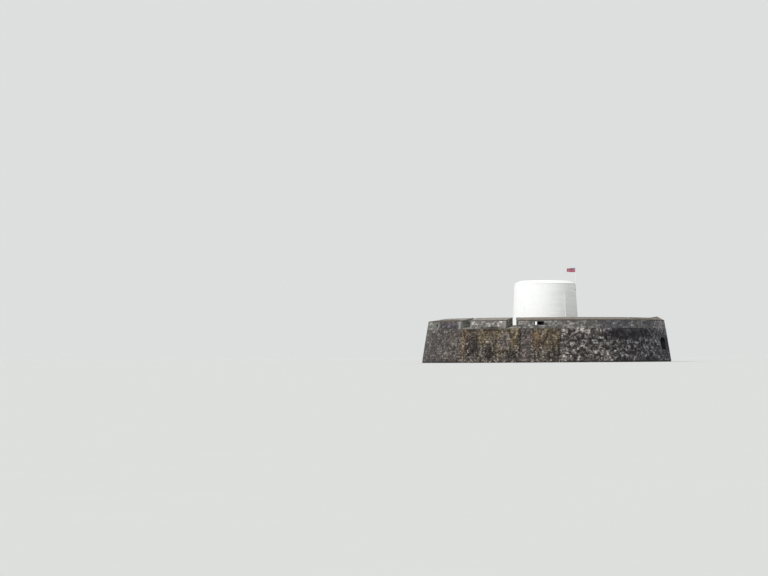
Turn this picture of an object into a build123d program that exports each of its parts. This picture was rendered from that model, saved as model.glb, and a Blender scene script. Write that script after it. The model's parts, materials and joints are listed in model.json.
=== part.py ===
from build123d import *
import math
import os

os.makedirs("parts", exist_ok=True)

# Driving dimensions, in millimetres and degrees.
# The Z axis is the middle of the battery, and Z is 0 where its wall meets the lowest ground.
# A heading is measured from the front of the battery (-Y) round towards the gateway side (+X).

# Battery wall and courtyard
FOOT_RADIUS = 19800
BATTER = 0.165
PARAPET_THICKNESS = 2820
YARD_LEVEL = 4750
PAVING_THICKNESS = 300
PARAPET_HEIGHT = 1800
PARAPET_FALL = 400
CAPPING_THICKNESS = 150

# Gun embrasures: the seaward ones are evenly spaced, the landward ones flank the gateway
# A heading is that of the throat, and each mouth lies a little further round
SEAWARD_FIRST = -143.8
SEAWARD_SPACING = 25.3
SEAWARD_COUNT = 6
LANDWARD_HEADINGS = (52, 128)
THROAT_WIDTH = 680
THROAT_LENGTH = 300
MOUTH_WIDTH = 2100
MOUTH_SHIFT = 440
SILL_HEIGHT = 1000
SILL_FALL = 500

# Ridge of the capping on the gateway side, which sinks to nothing at both ends
RIDGE_RADIUS = 17600
RIDGE_LEVEL = 7150
RIDGE_SLOPE = 0.194
RIDGE_HEADING = 90
RIDGE_SECTOR = (58, 122)

# Loophole with a lintel in the front parapet, its sill level with those of the embrasures
LOOPHOLE_HEADING = -3.2
LOOPHOLE_HEIGHT = 550
LOOPHOLE_MOUTH = 1620
LOOPHOLE_THROAT = 320
LINTEL_BEARING = 280

# Older castle wall that the front of the battery was built upon
CASTLE_LEFT = (-42, -12)
CASTLE_FRONT = (-7, 6.1)
CASTLE_LEDGE = 260

# Other joints between lengths of the battery wall, and in its long front merlon
BACK_JOINTS = (150, 210, 264)
FRONT_JOINT = 43

# Gateway and the ramp that climbs from it into the courtyard
GATE_HEADING = 71.3
GATE_WIDTH = 2600
GATE_FLOOR = 1870
GATE_SPRINGING = 1560
GATE_RISE = 350
GATE_SECTOR = (60, 94)
GATE_FOOTING = 370
SURROUND_WIDTH = 360
SURROUND_DEPTH = 600
CROWN_BEARING = 700
RAMP_SLOPE = 0.25
RAMP_SETBACK = 60
RAMP_WALL = 400

# Tower drum and parapet
TOWER_SHIFT = -140
TOWER_FOOT_RADIUS = 5290
TOWER_BATTER = 0.058
TOWER_HEIGHT = 7770
TOWER_WALL_THICKNESS = 2240
TOWER_PARAPET_WIDTH = 1490
TOWER_PARAPET_SLOPE = 970
TOWER_PARAPET_FALL = 430
TOWER_PARAPET_HEIGHT = 1380
PLATFORM_THICKNESS = 200
DRUM_JOINTS = (-5, 265)

# Inside the tower: each offset in the wall carries a floor or the vault
FLOOR_OFFSET = 150
VAULT_OFFSET = 250
VAULT_RISE = 1350
VAULT_CROWN = 750
STOREY_HEIGHT = 2750
BOARD_THICKNESS = 60
JOIST_DEPTH = 240
JOIST_WIDTH = 180
JOIST_SPACING = 900

# Loops that light the upper room, narrow outside and splayed within
LOOP_HEADINGS = (-38.4, 81.6, 201.6)
LOOP_HEIGHT = 1000
LOOP_SLIT = (170, 520)
LOOP_SPLAY = (620, 900)

# Tower doorway on the landward side, its frame and its leaf, which stands open against the reveal
DOOR_HEADING = 125
DOOR_WIDTH = 1050
DOOR_HEIGHT = 2100
DOOR_SECTOR = (95, 155)
FRAME_SETBACK = 650
FRAME_DEPTH = 120
FRAME_WIDTH = 90
LEAF_THICKNESS = 55
LEAF_CLEARANCE = 8

# Downpipe on the lit side of the tower
PIPE_HEADING = 38
PIPE_DIAMETER = 90
PIPE_STANDOFF = 90
PIPE_DROP = 650
PIPE_BEND = 70
PIPE_CLIP_HEIGHT = 60
PIPE_CLIP_WIDTH = 120
PIPE_CLIPS = 4

# Flagpole on the outside of the tower parapet, its two brackets and the flag
POLE_HEADING = 75
POLE_STANDOFF = 110
POLE_OVERLAP = 1000
POLE_RISE = 2120
POLE_FOOT_DIAMETER = 90
POLE_TOP_DIAMETER = 56
TRUCK_DIAMETER = 110
TRUCK_HEIGHT = 60
BRACKET_WIDTH = 60
BRACKET_HEIGHT = 70
BRACKET_COLLAR = 28
BRACKET_SPACING = 870
FLAG_HOIST = 690
FLAG_FLY = 1370
FLAG_THICKNESS = 10
FLAG_WAVE = 60
FLAG_DROP = 60
SEAT_GAP = 0.3

# A cut runs this far past whatever it meets
OVERRUN = 1500
FULL_TURN = 360


# Helpers

def wall_face(level):
    """Radius of the battery's outer face at a level."""
    return FOOT_RADIUS - BATTER * level


def tower_face(level):
    """Radius of the tower's outer face at a level."""
    return TOWER_FOOT_RADIUS - TOWER_BATTER * (level - YARD_LEVEL)


# Levels and radii that follow from the driving dimensions

YARD_RADIUS = wall_face(YARD_LEVEL) - PARAPET_THICKNESS
FILL_TOP = YARD_LEVEL - PAVING_THICKNESS
RIM_LEVEL = YARD_LEVEL + PARAPET_HEIGHT
CREST_LEVEL = RIM_LEVEL + PARAPET_FALL
SILL_LEVEL = YARD_LEVEL + SILL_HEIGHT
SILL_LIP = SILL_LEVEL - SILL_FALL
GATE_BED = GATE_FLOOR - GATE_FOOTING

TOWER_RIM_LEVEL = YARD_LEVEL + TOWER_HEIGHT
TOWER_RIM_RADIUS = tower_face(TOWER_RIM_LEVEL)
TOWER_CREST_LEVEL = TOWER_RIM_LEVEL + TOWER_PARAPET_FALL
TOWER_CREST_RADIUS = TOWER_RIM_RADIUS - TOWER_PARAPET_SLOPE
GUN_PLATFORM_LEVEL = TOWER_CREST_LEVEL - TOWER_PARAPET_HEIGHT
GUN_PLATFORM_RADIUS = TOWER_RIM_RADIUS - TOWER_PARAPET_WIDTH
WALL_TOP = GUN_PLATFORM_LEVEL - PLATFORM_THICKNESS
GROUND_ROOM_RADIUS = TOWER_FOOT_RADIUS - TOWER_WALL_THICKNESS
UPPER_ROOM_RADIUS = GROUND_ROOM_RADIUS + FLOOR_OFFSET
VAULT_SEAT_RADIUS = UPPER_ROOM_RADIUS + VAULT_OFFSET
VAULT_SPRINGING = WALL_TOP - VAULT_CROWN - VAULT_RISE
FIRST_FLOOR_LEVEL = YARD_LEVEL + STOREY_HEIGHT
FLOOR_SEAT = FIRST_FLOOR_LEVEL - BOARD_THICKNESS - JOIST_DEPTH
LOOP_LEVEL = FIRST_FLOOR_LEVEL + LOOP_HEIGHT
DOOR_HEAD = YARD_LEVEL + DOOR_HEIGHT
PIPE_TOP = WALL_TOP - PIPE_DROP
POLE_FOOT = TOWER_RIM_LEVEL - POLE_OVERLAP
POLE_TOP = TOWER_CREST_LEVEL + POLE_RISE
POLE_REACH = tower_face(POLE_FOOT) + POLE_STANDOFF


def outward(heading):
    return math.sin(math.radians(heading)), -math.cos(math.radians(heading))


def section_plane(heading, centre=0):
    """Upright plane through an axis: local X runs outward along the heading, local Y is up."""
    east, north = outward(heading)
    return Plane(origin=(centre, 0, 0), x_dir=(east, north, 0), z_dir=(north, -east, 0))


def level_plane(heading, level, centre=0):
    """Level plane whose local X runs outward along the heading."""
    east, north = outward(heading)
    return Plane(origin=(centre, 0, level), x_dir=(east, north, 0), z_dir=(0, 0, 1))


def facing_plane(heading, distance, level, centre=0):
    """Upright plane square to the heading, at a distance out: local Y is up."""
    east, north = outward(heading)
    origin = (centre + distance * east, distance * north, level)
    return Plane(origin=origin, x_dir=(-north, east, 0), z_dir=(east, north, 0))


def turn(outline, start, end, centre=0, mode=Mode.ADD):
    """Turn an outline of (radius, level) points about an upright axis, from one heading to another."""
    with BuildSketch(section_plane(start, centre)) as section:
        with BuildLine():
            Polyline(*outline, close=True)
        make_face()
    axis = Axis((centre, 0, 0), (0, 0, 1))
    revolve(section.sketch, axis=axis, revolution_arc=end - start, mode=mode)


def upright_block(heading, near, far, half_width, bottom, top, centre=0, side=0, mode=Mode.ADD):
    """Block that runs outward along a heading, from one distance to another."""
    with BuildSketch(level_plane(heading, bottom, centre)) as plan:
        with Locations(((near + far) / 2, side)):
            Rectangle(far - near, 2 * half_width)
    extrude(plan.sketch, amount=top - bottom, mode=mode)


def finish(builder, name):
    builder.part.label = name
    export_step(builder.part, f"parts/{name}.step")


# Older castle wall and scarp of the battery, below the parapet

SCARP_OUTLINE = [
    (YARD_RADIUS, 0),
    (FOOT_RADIUS, 0),
    (wall_face(YARD_LEVEL), YARD_LEVEL),
    (YARD_RADIUS, YARD_LEVEL),
]

CASTLE_OUTLINE = [
    (YARD_RADIUS, 0),
    (FOOT_RADIUS, 0),
    (wall_face(SILL_LIP) + CASTLE_LEDGE, SILL_LIP - CASTLE_LEDGE / 4),
    (wall_face(SILL_LIP), SILL_LIP),
    (wall_face(YARD_LEVEL), YARD_LEVEL),
    (YARD_RADIUS, YARD_LEVEL),
]

SCARP_LENGTHS = {
    "castle_wall_left": (CASTLE_OUTLINE, CASTLE_LEFT[0], CASTLE_LEFT[1]),
    "scarp_front": (SCARP_OUTLINE, CASTLE_LEFT[1], CASTLE_FRONT[0]),
    "castle_wall_front": (CASTLE_OUTLINE, CASTLE_FRONT[0], CASTLE_FRONT[1]),
    "scarp_front_right": (SCARP_OUTLINE, CASTLE_FRONT[1], GATE_SECTOR[0]),
    "scarp_back_right": (SCARP_OUTLINE, GATE_SECTOR[1], BACK_JOINTS[0]),
    "scarp_back": (SCARP_OUTLINE, BACK_JOINTS[0], BACK_JOINTS[1]),
    "scarp_back_left": (SCARP_OUTLINE, BACK_JOINTS[1], BACK_JOINTS[2]),
    "scarp_left": (SCARP_OUTLINE, BACK_JOINTS[2], FULL_TURN + CASTLE_LEFT[0]),
}

for scarp_name, (scarp_outline, scarp_start, scarp_end) in SCARP_LENGTHS.items():
    with BuildPart() as scarp:
        turn(scarp_outline, scarp_start, scarp_end)
    finish(scarp, scarp_name)


# Gateway: a dressed surround, a jamb wall on each side and the wall that crowns the passage

def draw_gate(margin):
    """Sketch of the passage's section, wider all round by a margin, with its segmental arch."""
    half = GATE_WIDTH / 2 + margin
    foot = -GATE_FOOTING - OVERRUN
    gate_plane = facing_plane(GATE_HEADING, FOOT_RADIUS, gate_level(FOOT_RADIUS))
    with BuildSketch(gate_plane) as section:
        with BuildLine():
            Polyline((half, GATE_SPRINGING), (half, foot), (-half, foot), (-half, GATE_SPRINGING))
            ThreePointArc(
                (-half, GATE_SPRINGING),
                (0, GATE_SPRINGING + GATE_RISE + margin),
                (half, GATE_SPRINGING),
            )
        make_face()
    return section.sketch


def gate_level(distance):
    """Level of the ramp's surface at a distance out from the middle."""
    return GATE_FLOOR + RAMP_SLOPE * (wall_face(GATE_FLOOR) - distance)


def run_up(sketch, length, mode=Mode.ADD):
    """Carry a gateway section inwards, climbing with the ramp."""
    east, north = outward(GATE_HEADING)
    climb = math.hypot(1, RAMP_SLOPE)
    extrude(sketch, amount=length * climb, dir=(-east, -north, RAMP_SLOPE), mode=mode)


PASSAGE_LENGTH = FOOT_RADIUS - YARD_RADIUS + OVERRUN

GATE_WALL_OUTLINE = [
    (YARD_RADIUS, GATE_BED),
    (wall_face(GATE_BED), GATE_BED),
    (wall_face(YARD_LEVEL), YARD_LEVEL),
    (YARD_RADIUS, YARD_LEVEL),
]

SURROUND_OUTLINE = [
    (wall_face(GATE_BED) - SURROUND_DEPTH, GATE_BED),
    (wall_face(GATE_BED), GATE_BED),
    (wall_face(YARD_LEVEL), YARD_LEVEL),
    (wall_face(YARD_LEVEL) - SURROUND_DEPTH, YARD_LEVEL),
]

with BuildPart() as gateway_base:
    base_outline = [
        (YARD_RADIUS, 0),
        (FOOT_RADIUS, 0),
        (wall_face(GATE_BED), GATE_BED),
        (YARD_RADIUS, GATE_BED),
    ]
    turn(base_outline, *GATE_SECTOR)
finish(gateway_base, "gateway_base")

with BuildPart() as gateway_surround:
    run_up(draw_gate(SURROUND_WIDTH), PASSAGE_LENGTH)
    run_up(draw_gate(0), PASSAGE_LENGTH, mode=Mode.SUBTRACT)
    turn(SURROUND_OUTLINE, *GATE_SECTOR, mode=Mode.INTERSECT)
finish(gateway_surround, "gateway_surround")


def draw_crown():
    """Sketch of the block of wall that spans the passage, from the springing upwards."""
    gate_plane = facing_plane(GATE_HEADING, FOOT_RADIUS, gate_level(FOOT_RADIUS))
    with BuildSketch(gate_plane) as section:
        with Locations((0, GATE_SPRINGING)):
            Rectangle(GATE_WIDTH + 2 * CROWN_BEARING, YARD_LEVEL, align=(Align.CENTER, Align.MIN))
    return section.sketch


with BuildPart() as gateway_crown:
    run_up(draw_crown(), PASSAGE_LENGTH)
    turn(GATE_WALL_OUTLINE, *GATE_SECTOR, mode=Mode.INTERSECT)
    run_up(draw_gate(0), PASSAGE_LENGTH, mode=Mode.SUBTRACT)
    add(gateway_surround.part, mode=Mode.SUBTRACT)
finish(gateway_crown, "gateway_crown")

GATE_WALLS = {
    "gateway_wall_left": (GATE_SECTOR[0], GATE_HEADING),
    "gateway_wall_right": (GATE_HEADING, GATE_SECTOR[1]),
}

for wall_name, (wall_start, wall_end) in GATE_WALLS.items():
    with BuildPart() as gate_wall:
        turn(GATE_WALL_OUTLINE, wall_start, wall_end)
        run_up(draw_gate(0), PASSAGE_LENGTH, mode=Mode.SUBTRACT)
        run_up(draw_crown(), PASSAGE_LENGTH, mode=Mode.SUBTRACT)
        add(gateway_surround.part, mode=Mode.SUBTRACT)
    finish(gate_wall, wall_name)


# Courtyard: its rubble fill, the ramp with a retaining wall on each side, and the paving

RAMP_TOP = wall_face(GATE_FLOOR) - (YARD_LEVEL - GATE_FLOOR) / RAMP_SLOPE
TRENCH_HALF = GATE_WIDTH / 2 + RAMP_WALL
TRENCH_END = YARD_RADIUS + OVERRUN

with BuildPart() as courtyard_fill:
    Cylinder(YARD_RADIUS, FILL_TOP, align=(Align.CENTER, Align.CENTER, Align.MIN))
    upright_block(GATE_HEADING, RAMP_TOP, TRENCH_END, TRENCH_HALF, GATE_BED, YARD_LEVEL,
                  mode=Mode.SUBTRACT)
finish(courtyard_fill, "courtyard_fill")

with BuildPart() as gateway_ramp:
    ramp_outline = [
        (RAMP_TOP, GATE_BED),
        (wall_face(GATE_BED) - RAMP_SETBACK, GATE_BED),
        (wall_face(GATE_FLOOR) - RAMP_SETBACK, gate_level(wall_face(GATE_FLOOR) - RAMP_SETBACK)),
        (RAMP_TOP, YARD_LEVEL),
    ]
    with BuildSketch(section_plane(GATE_HEADING)):
        with BuildLine():
            Polyline(*ramp_outline, close=True)
        make_face()
    extrude(amount=GATE_WIDTH / 2, both=True)
finish(gateway_ramp, "gateway_ramp")

with BuildPart() as ramp_walls:
    for ramp_side in (-1, 1):
        upright_block(GATE_HEADING, RAMP_TOP, TRENCH_END, RAMP_WALL / 2, GATE_BED, YARD_LEVEL,
                      side=ramp_side * (GATE_WIDTH + RAMP_WALL) / 2)
    Cylinder(YARD_RADIUS, YARD_LEVEL, align=(Align.CENTER, Align.CENTER, Align.MIN),
             mode=Mode.INTERSECT)
finish(ramp_walls, "ramp_walls")

TOWER_SHADOW = [
    (0, FILL_TOP),
    (tower_face(FILL_TOP), FILL_TOP),
    (TOWER_RIM_RADIUS, TOWER_RIM_LEVEL),
    (0, TOWER_RIM_LEVEL),
]

with BuildPart() as courtyard_paving:
    with BuildSketch(Plane.XY.offset(FILL_TOP)):
        Circle(YARD_RADIUS)
    extrude(amount=PAVING_THICKNESS)
    turn(TOWER_SHADOW, 0, FULL_TURN, centre=TOWER_SHIFT, mode=Mode.SUBTRACT)
    upright_block(GATE_HEADING, RAMP_TOP, TRENCH_END, TRENCH_HALF, GATE_BED, YARD_LEVEL,
                  mode=Mode.SUBTRACT)
finish(courtyard_paving, "courtyard_paving")


# Parapet: merlons between splayed embrasures, their sloping sills, and the sloping capping

SEAWARD_HEADINGS = [SEAWARD_FIRST + SEAWARD_SPACING * step for step in range(SEAWARD_COUNT)]
EMBRASURE_HEADINGS = SEAWARD_HEADINGS + list(LANDWARD_HEADINGS)
MERLON_JOINTS = sorted([*EMBRASURE_HEADINGS, FRONT_JOINT, SEAWARD_FIRST + FULL_TURN])
MERLON_SPANS = list(zip(MERLON_JOINTS, MERLON_JOINTS[1:]))
MERLON_NAMES = (
    "merlon_back_left",
    "merlon_left_back",
    "merlon_left",
    "merlon_left_front",
    "merlon_front_left",
    "merlon_front",
    "merlon_front_right",
    "merlon_gate_side",
    "merlon_back",
)
CHEEK_LENGTH = wall_face(SILL_LIP) - YARD_RADIUS - THROAT_LENGTH
CHEEK_SPREAD = (MOUTH_WIDTH - THROAT_WIDTH) / 2


def embrasure(heading, mode):
    """Gun opening in plan: a short straight throat, then cheeks that splay to the outer face."""
    throat_end = YARD_RADIUS + THROAT_LENGTH
    reach = PARAPET_THICKNESS + OVERRUN
    half = THROAT_WIDTH / 2
    right_spread = (CHEEK_SPREAD + MOUTH_SHIFT) / CHEEK_LENGTH * reach
    left_spread = (CHEEK_SPREAD - MOUTH_SHIFT) / CHEEK_LENGTH * reach
    corners = [
        (YARD_RADIUS - OVERRUN, half),
        (throat_end, half),
        (throat_end + reach, half + right_spread),
        (throat_end + reach, -half - left_spread),
        (throat_end, -half),
        (YARD_RADIUS - OVERRUN, -half),
    ]
    with BuildSketch(level_plane(heading, YARD_LEVEL)) as plan:
        with BuildLine():
            Polyline(*corners, close=True)
        make_face()
    extrude(plan.sketch, amount=CREST_LEVEL - YARD_LEVEL + OVERRUN, mode=mode)


def loophole(height, mode):
    """Loophole in plan, up from the courtyard: one cheek square to the wall, the other splayed."""
    inner, outer = YARD_RADIUS - OVERRUN, wall_face(SILL_LEVEL)
    splay = (LOOPHOLE_MOUTH - LOOPHOLE_THROAT) / (outer - YARD_RADIUS)
    left = -LOOPHOLE_MOUTH / 2
    corners = [
        (inner, left),
        (outer + OVERRUN, left),
        (outer + OVERRUN, left + LOOPHOLE_MOUTH + splay * OVERRUN),
        (YARD_RADIUS, left + LOOPHOLE_THROAT),
        (inner, left + LOOPHOLE_THROAT),
    ]
    with BuildSketch(level_plane(LOOPHOLE_HEADING, YARD_LEVEL)) as plan:
        with BuildLine():
            Polyline(*corners, close=True)
        make_face()
    extrude(plan.sketch, amount=height, mode=mode)


CAPPING_SEAT_OUT = RIM_LEVEL - CAPPING_THICKNESS
CAPPING_SEAT_IN = CREST_LEVEL - CAPPING_THICKNESS

MERLON_OUTLINE = [
    (YARD_RADIUS, YARD_LEVEL),
    (wall_face(YARD_LEVEL), YARD_LEVEL),
    (wall_face(CAPPING_SEAT_OUT), CAPPING_SEAT_OUT),
    (YARD_RADIUS, CAPPING_SEAT_IN),
]

CAPPING_OUTLINE = [
    (YARD_RADIUS, CAPPING_SEAT_IN),
    (wall_face(CAPPING_SEAT_OUT), CAPPING_SEAT_OUT),
    (wall_face(RIM_LEVEL), RIM_LEVEL),
    (YARD_RADIUS, CREST_LEVEL),
]

SILL_OUTLINE = [
    (YARD_RADIUS, YARD_LEVEL),
    (wall_face(YARD_LEVEL), YARD_LEVEL),
    (wall_face(SILL_LIP), SILL_LIP),
    (YARD_RADIUS, SILL_LEVEL),
]

LINTEL_FOOT = SILL_LEVEL + LOOPHOLE_HEIGHT
LINTEL_HALF = math.degrees((LOOPHOLE_MOUTH / 2 + LINTEL_BEARING) / wall_face(LINTEL_FOOT))
LINTEL_SPAN = (LOOPHOLE_HEADING - LINTEL_HALF, LOOPHOLE_HEADING + LINTEL_HALF)

LINTEL_OUTLINE = [
    (YARD_RADIUS, LINTEL_FOOT),
    (wall_face(LINTEL_FOOT), LINTEL_FOOT),
    (wall_face(CAPPING_SEAT_OUT), CAPPING_SEAT_OUT),
    (YARD_RADIUS, CAPPING_SEAT_IN),
]

LOOPHOLE_SILL_OUTLINE = [
    (YARD_RADIUS, YARD_LEVEL),
    (wall_face(YARD_LEVEL), YARD_LEVEL),
    (wall_face(SILL_LEVEL), SILL_LEVEL),
    (YARD_RADIUS, SILL_LEVEL),
]

with BuildPart() as loophole_lintel:
    turn(LINTEL_OUTLINE, *LINTEL_SPAN)
finish(loophole_lintel, "loophole_lintel")

for merlon_name, (merlon_start, merlon_end) in zip(MERLON_NAMES, MERLON_SPANS):
    with BuildPart() as merlon:
        turn(MERLON_OUTLINE, merlon_start, merlon_end)
        for merlon_joint in (merlon_start, merlon_end):
            if merlon_joint != FRONT_JOINT:
                embrasure(merlon_joint, Mode.SUBTRACT)
        if merlon_name == "merlon_front":
            loophole(LINTEL_FOOT - YARD_LEVEL, Mode.SUBTRACT)
            add(loophole_lintel.part, mode=Mode.SUBTRACT)
    finish(merlon, merlon_name)

RIDGE_OUTLINE = [
    (YARD_RADIUS, CREST_LEVEL),
    (wall_face(RIM_LEVEL), RIM_LEVEL),
    (RIDGE_RADIUS, RIDGE_LEVEL),
]

RIDGE_TRIM = [
    (0, 0),
    (FOOT_RADIUS, 0),
    (FOOT_RADIUS, RIDGE_LEVEL + RIDGE_SLOPE * (FOOT_RADIUS - RIDGE_RADIUS)),
    (0, RIDGE_LEVEL - RIDGE_SLOPE * RIDGE_RADIUS),
]

with BuildPart() as capping_ridge:
    turn(RIDGE_OUTLINE, *RIDGE_SECTOR)
    with BuildSketch(section_plane(RIDGE_HEADING)):
        with BuildLine():
            Polyline(*RIDGE_TRIM, close=True)
        make_face()
    extrude(amount=FOOT_RADIUS, both=True, mode=Mode.INTERSECT)

with BuildPart() as parapet_capping:
    turn(CAPPING_OUTLINE, 0, FULL_TURN)
    add(capping_ridge.part)
    for embrasure_heading in EMBRASURE_HEADINGS:
        embrasure(embrasure_heading, Mode.SUBTRACT)
finish(parapet_capping, "parapet_capping")

with BuildPart() as embrasure_sill:
    sill_half = math.degrees(MOUTH_WIDTH / wall_face(SILL_LIP))
    turn(SILL_OUTLINE, -sill_half, sill_half)
    embrasure(0, Mode.INTERSECT)

with BuildPart() as loophole_sill:
    turn(LOOPHOLE_SILL_OUTLINE, *LINTEL_SPAN)
    loophole(LINTEL_FOOT - YARD_LEVEL, Mode.INTERSECT)

with BuildPart() as embrasure_sills:
    for embrasure_heading in EMBRASURE_HEADINGS:
        add(embrasure_sill.part, rotation=(0, 0, embrasure_heading))
    add(loophole_sill.part)
finish(embrasure_sills, "embrasure_sills")


# Tower drum: battered outside, with an offset inside that carries each floor and the vault

def drum_outline(bottom):
    return [
        (GROUND_ROOM_RADIUS, bottom),
        (tower_face(bottom), bottom),
        (tower_face(WALL_TOP), WALL_TOP),
        (VAULT_SEAT_RADIUS, WALL_TOP),
        (VAULT_SEAT_RADIUS, VAULT_SPRINGING),
        (UPPER_ROOM_RADIUS, VAULT_SPRINGING),
        (UPPER_ROOM_RADIUS, FLOOR_SEAT),
        (GROUND_ROOM_RADIUS, FLOOR_SEAT),
    ]


def loop(heading):
    """Loop cut through the drum, from its slit outside to its splayed opening within."""
    slit_distance = tower_face(LOOP_LEVEL - LOOP_SLIT[1])
    splay_distance = UPPER_ROOM_RADIUS - FLOOR_OFFSET
    with BuildSketch(facing_plane(heading, slit_distance, LOOP_LEVEL, TOWER_SHIFT)) as slit:
        Rectangle(*LOOP_SLIT)
    with BuildSketch(facing_plane(heading, splay_distance, LOOP_LEVEL, TOWER_SHIFT)) as splay:
        Rectangle(*LOOP_SPLAY)
    loft([slit.sketch.face(), splay.sketch.face()], mode=Mode.SUBTRACT)


DRUM_LENGTHS = {
    "tower_wall_front_left": (DRUM_JOINTS[1] - FULL_TURN, DRUM_JOINTS[0]),
    "tower_wall_front_right": (DRUM_JOINTS[0], DOOR_SECTOR[0]),
    "tower_wall_back": (DOOR_SECTOR[1], DRUM_JOINTS[1]),
}

for drum_name, (drum_start, drum_end) in DRUM_LENGTHS.items():
    with BuildPart() as drum_wall:
        turn(drum_outline(FILL_TOP), drum_start, drum_end, centre=TOWER_SHIFT)
        for loop_heading in LOOP_HEADINGS:
            if drum_start < loop_heading < drum_end:
                loop(loop_heading)
    finish(drum_wall, drum_name)

with BuildPart() as tower_wall_over_door:
    turn(drum_outline(DOOR_HEAD), *DOOR_SECTOR, centre=TOWER_SHIFT)
finish(tower_wall_over_door, "tower_wall_over_door")

JAMB_OUTLINE = [
    (GROUND_ROOM_RADIUS, FILL_TOP),
    (tower_face(FILL_TOP), FILL_TOP),
    (tower_face(DOOR_HEAD), DOOR_HEAD),
    (GROUND_ROOM_RADIUS, DOOR_HEAD),
]
JAMBS = {
    "tower_wall_door_left": (DOOR_SECTOR[0], DOOR_HEADING),
    "tower_wall_door_right": (DOOR_HEADING, DOOR_SECTOR[1]),
}

for jamb_name, (jamb_start, jamb_end) in JAMBS.items():
    with BuildPart() as jamb:
        turn(JAMB_OUTLINE, jamb_start, jamb_end, centre=TOWER_SHIFT)
        upright_block(DOOR_HEADING, 0, TOWER_FOOT_RADIUS + OVERRUN, DOOR_WIDTH / 2, FILL_TOP, DOOR_HEAD,
                      centre=TOWER_SHIFT, mode=Mode.SUBTRACT)
    finish(jamb, jamb_name)

with BuildPart() as tower_parapet:
    parapet_outline = [
        (GUN_PLATFORM_RADIUS, WALL_TOP),
        (tower_face(WALL_TOP), WALL_TOP),
        (TOWER_RIM_RADIUS, TOWER_RIM_LEVEL),
        (TOWER_CREST_RADIUS, TOWER_CREST_LEVEL),
        (GUN_PLATFORM_RADIUS, TOWER_CREST_LEVEL),
    ]
    turn(parapet_outline, 0, FULL_TURN, centre=TOWER_SHIFT)
finish(tower_parapet, "tower_parapet")


# Floors of the tower and the domed vault that carries the gun platform

with BuildPart() as roof_vault:
    with BuildSketch(section_plane(0, TOWER_SHIFT)) as vault_section:
        with BuildLine():
            crown_point = (0, VAULT_SPRINGING + VAULT_RISE)
            rise_angle = 2 * math.atan(VAULT_RISE / UPPER_ROOM_RADIUS)
            sphere_radius = UPPER_ROOM_RADIUS / math.sin(rise_angle)
            half_angle = rise_angle / 2
            haunch_point = (
                sphere_radius * math.sin(half_angle),
                VAULT_SPRINGING + VAULT_RISE - sphere_radius * (1 - math.cos(half_angle)),
            )
            ThreePointArc(crown_point, haunch_point, (UPPER_ROOM_RADIUS, VAULT_SPRINGING))
            Polyline(
                (UPPER_ROOM_RADIUS, VAULT_SPRINGING),
                (VAULT_SEAT_RADIUS, VAULT_SPRINGING),
                (VAULT_SEAT_RADIUS, WALL_TOP),
                (GUN_PLATFORM_RADIUS, WALL_TOP),
                (GUN_PLATFORM_RADIUS, GUN_PLATFORM_LEVEL),
                (0, GUN_PLATFORM_LEVEL),
                crown_point,
            )
        make_face()
    revolve(vault_section.sketch, axis=Axis((TOWER_SHIFT, 0, 0), (0, 0, 1)))
finish(roof_vault, "roof_vault")

with BuildPart() as first_floor:
    with BuildSketch(Plane((TOWER_SHIFT, 0, FIRST_FLOOR_LEVEL - BOARD_THICKNESS))):
        Circle(UPPER_ROOM_RADIUS)
    extrude(amount=BOARD_THICKNESS)
    with BuildSketch(Plane((TOWER_SHIFT, 0, FLOOR_SEAT))):
        joist_count = 2 * int((GROUND_ROOM_RADIUS - JOIST_WIDTH) / JOIST_SPACING) + 1
        with GridLocations(JOIST_SPACING, 1, joist_count, 1):
            Rectangle(JOIST_WIDTH, 2 * UPPER_ROOM_RADIUS)
        Circle(UPPER_ROOM_RADIUS, mode=Mode.INTERSECT)
    extrude(amount=JOIST_DEPTH)
    with BuildSketch(Plane((TOWER_SHIFT, 0, FIRST_FLOOR_LEVEL))):
        with Locations((JOIST_SPACING / 2, -JOIST_SPACING)):
            hatch_size = JOIST_SPACING - JOIST_WIDTH
            Rectangle(hatch_size, hatch_size)
    extrude(amount=-BOARD_THICKNESS, mode=Mode.SUBTRACT)
finish(first_floor, "first_floor")

with BuildPart() as ground_floor:
    with BuildSketch(Plane((TOWER_SHIFT, 0, FILL_TOP))):
        Circle(GROUND_ROOM_RADIUS)
    extrude(amount=PAVING_THICKNESS)
    upright_block(DOOR_HEADING, 0, tower_face(YARD_LEVEL) - RAMP_SETBACK, DOOR_WIDTH / 2, FILL_TOP,
                  YARD_LEVEL, centre=TOWER_SHIFT)
finish(ground_floor, "ground_floor")


# Door frame and leaf

FRAME_FACE = tower_face(DOOR_HEAD) - FRAME_SETBACK
LEAF_LENGTH = DOOR_WIDTH - 2 * FRAME_WIDTH

with BuildPart() as door_frame:
    with BuildSketch(facing_plane(DOOR_HEADING, FRAME_FACE, YARD_LEVEL, TOWER_SHIFT)):
        Rectangle(DOOR_WIDTH, DOOR_HEIGHT, align=(Align.CENTER, Align.MIN))
        Rectangle(DOOR_WIDTH - 2 * FRAME_WIDTH, DOOR_HEIGHT - FRAME_WIDTH,
                  align=(Align.CENTER, Align.MIN), mode=Mode.SUBTRACT)
    extrude(amount=-FRAME_DEPTH)
finish(door_frame, "door_frame")

with BuildPart() as door_leaf:
    leaf_near = FRAME_FACE - FRAME_DEPTH - LEAF_LENGTH
    leaf_side = DOOR_WIDTH / 2 - LEAF_CLEARANCE - LEAF_THICKNESS / 2
    upright_block(DOOR_HEADING, leaf_near, FRAME_FACE - FRAME_DEPTH, LEAF_THICKNESS / 2,
                  YARD_LEVEL + LEAF_CLEARANCE, DOOR_HEAD - FRAME_WIDTH - LEAF_CLEARANCE,
                  centre=TOWER_SHIFT, side=leaf_side)
finish(door_leaf, "door_leaf")


# Downpipe: out of the wall, down beside its face and out again over the paving

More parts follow.
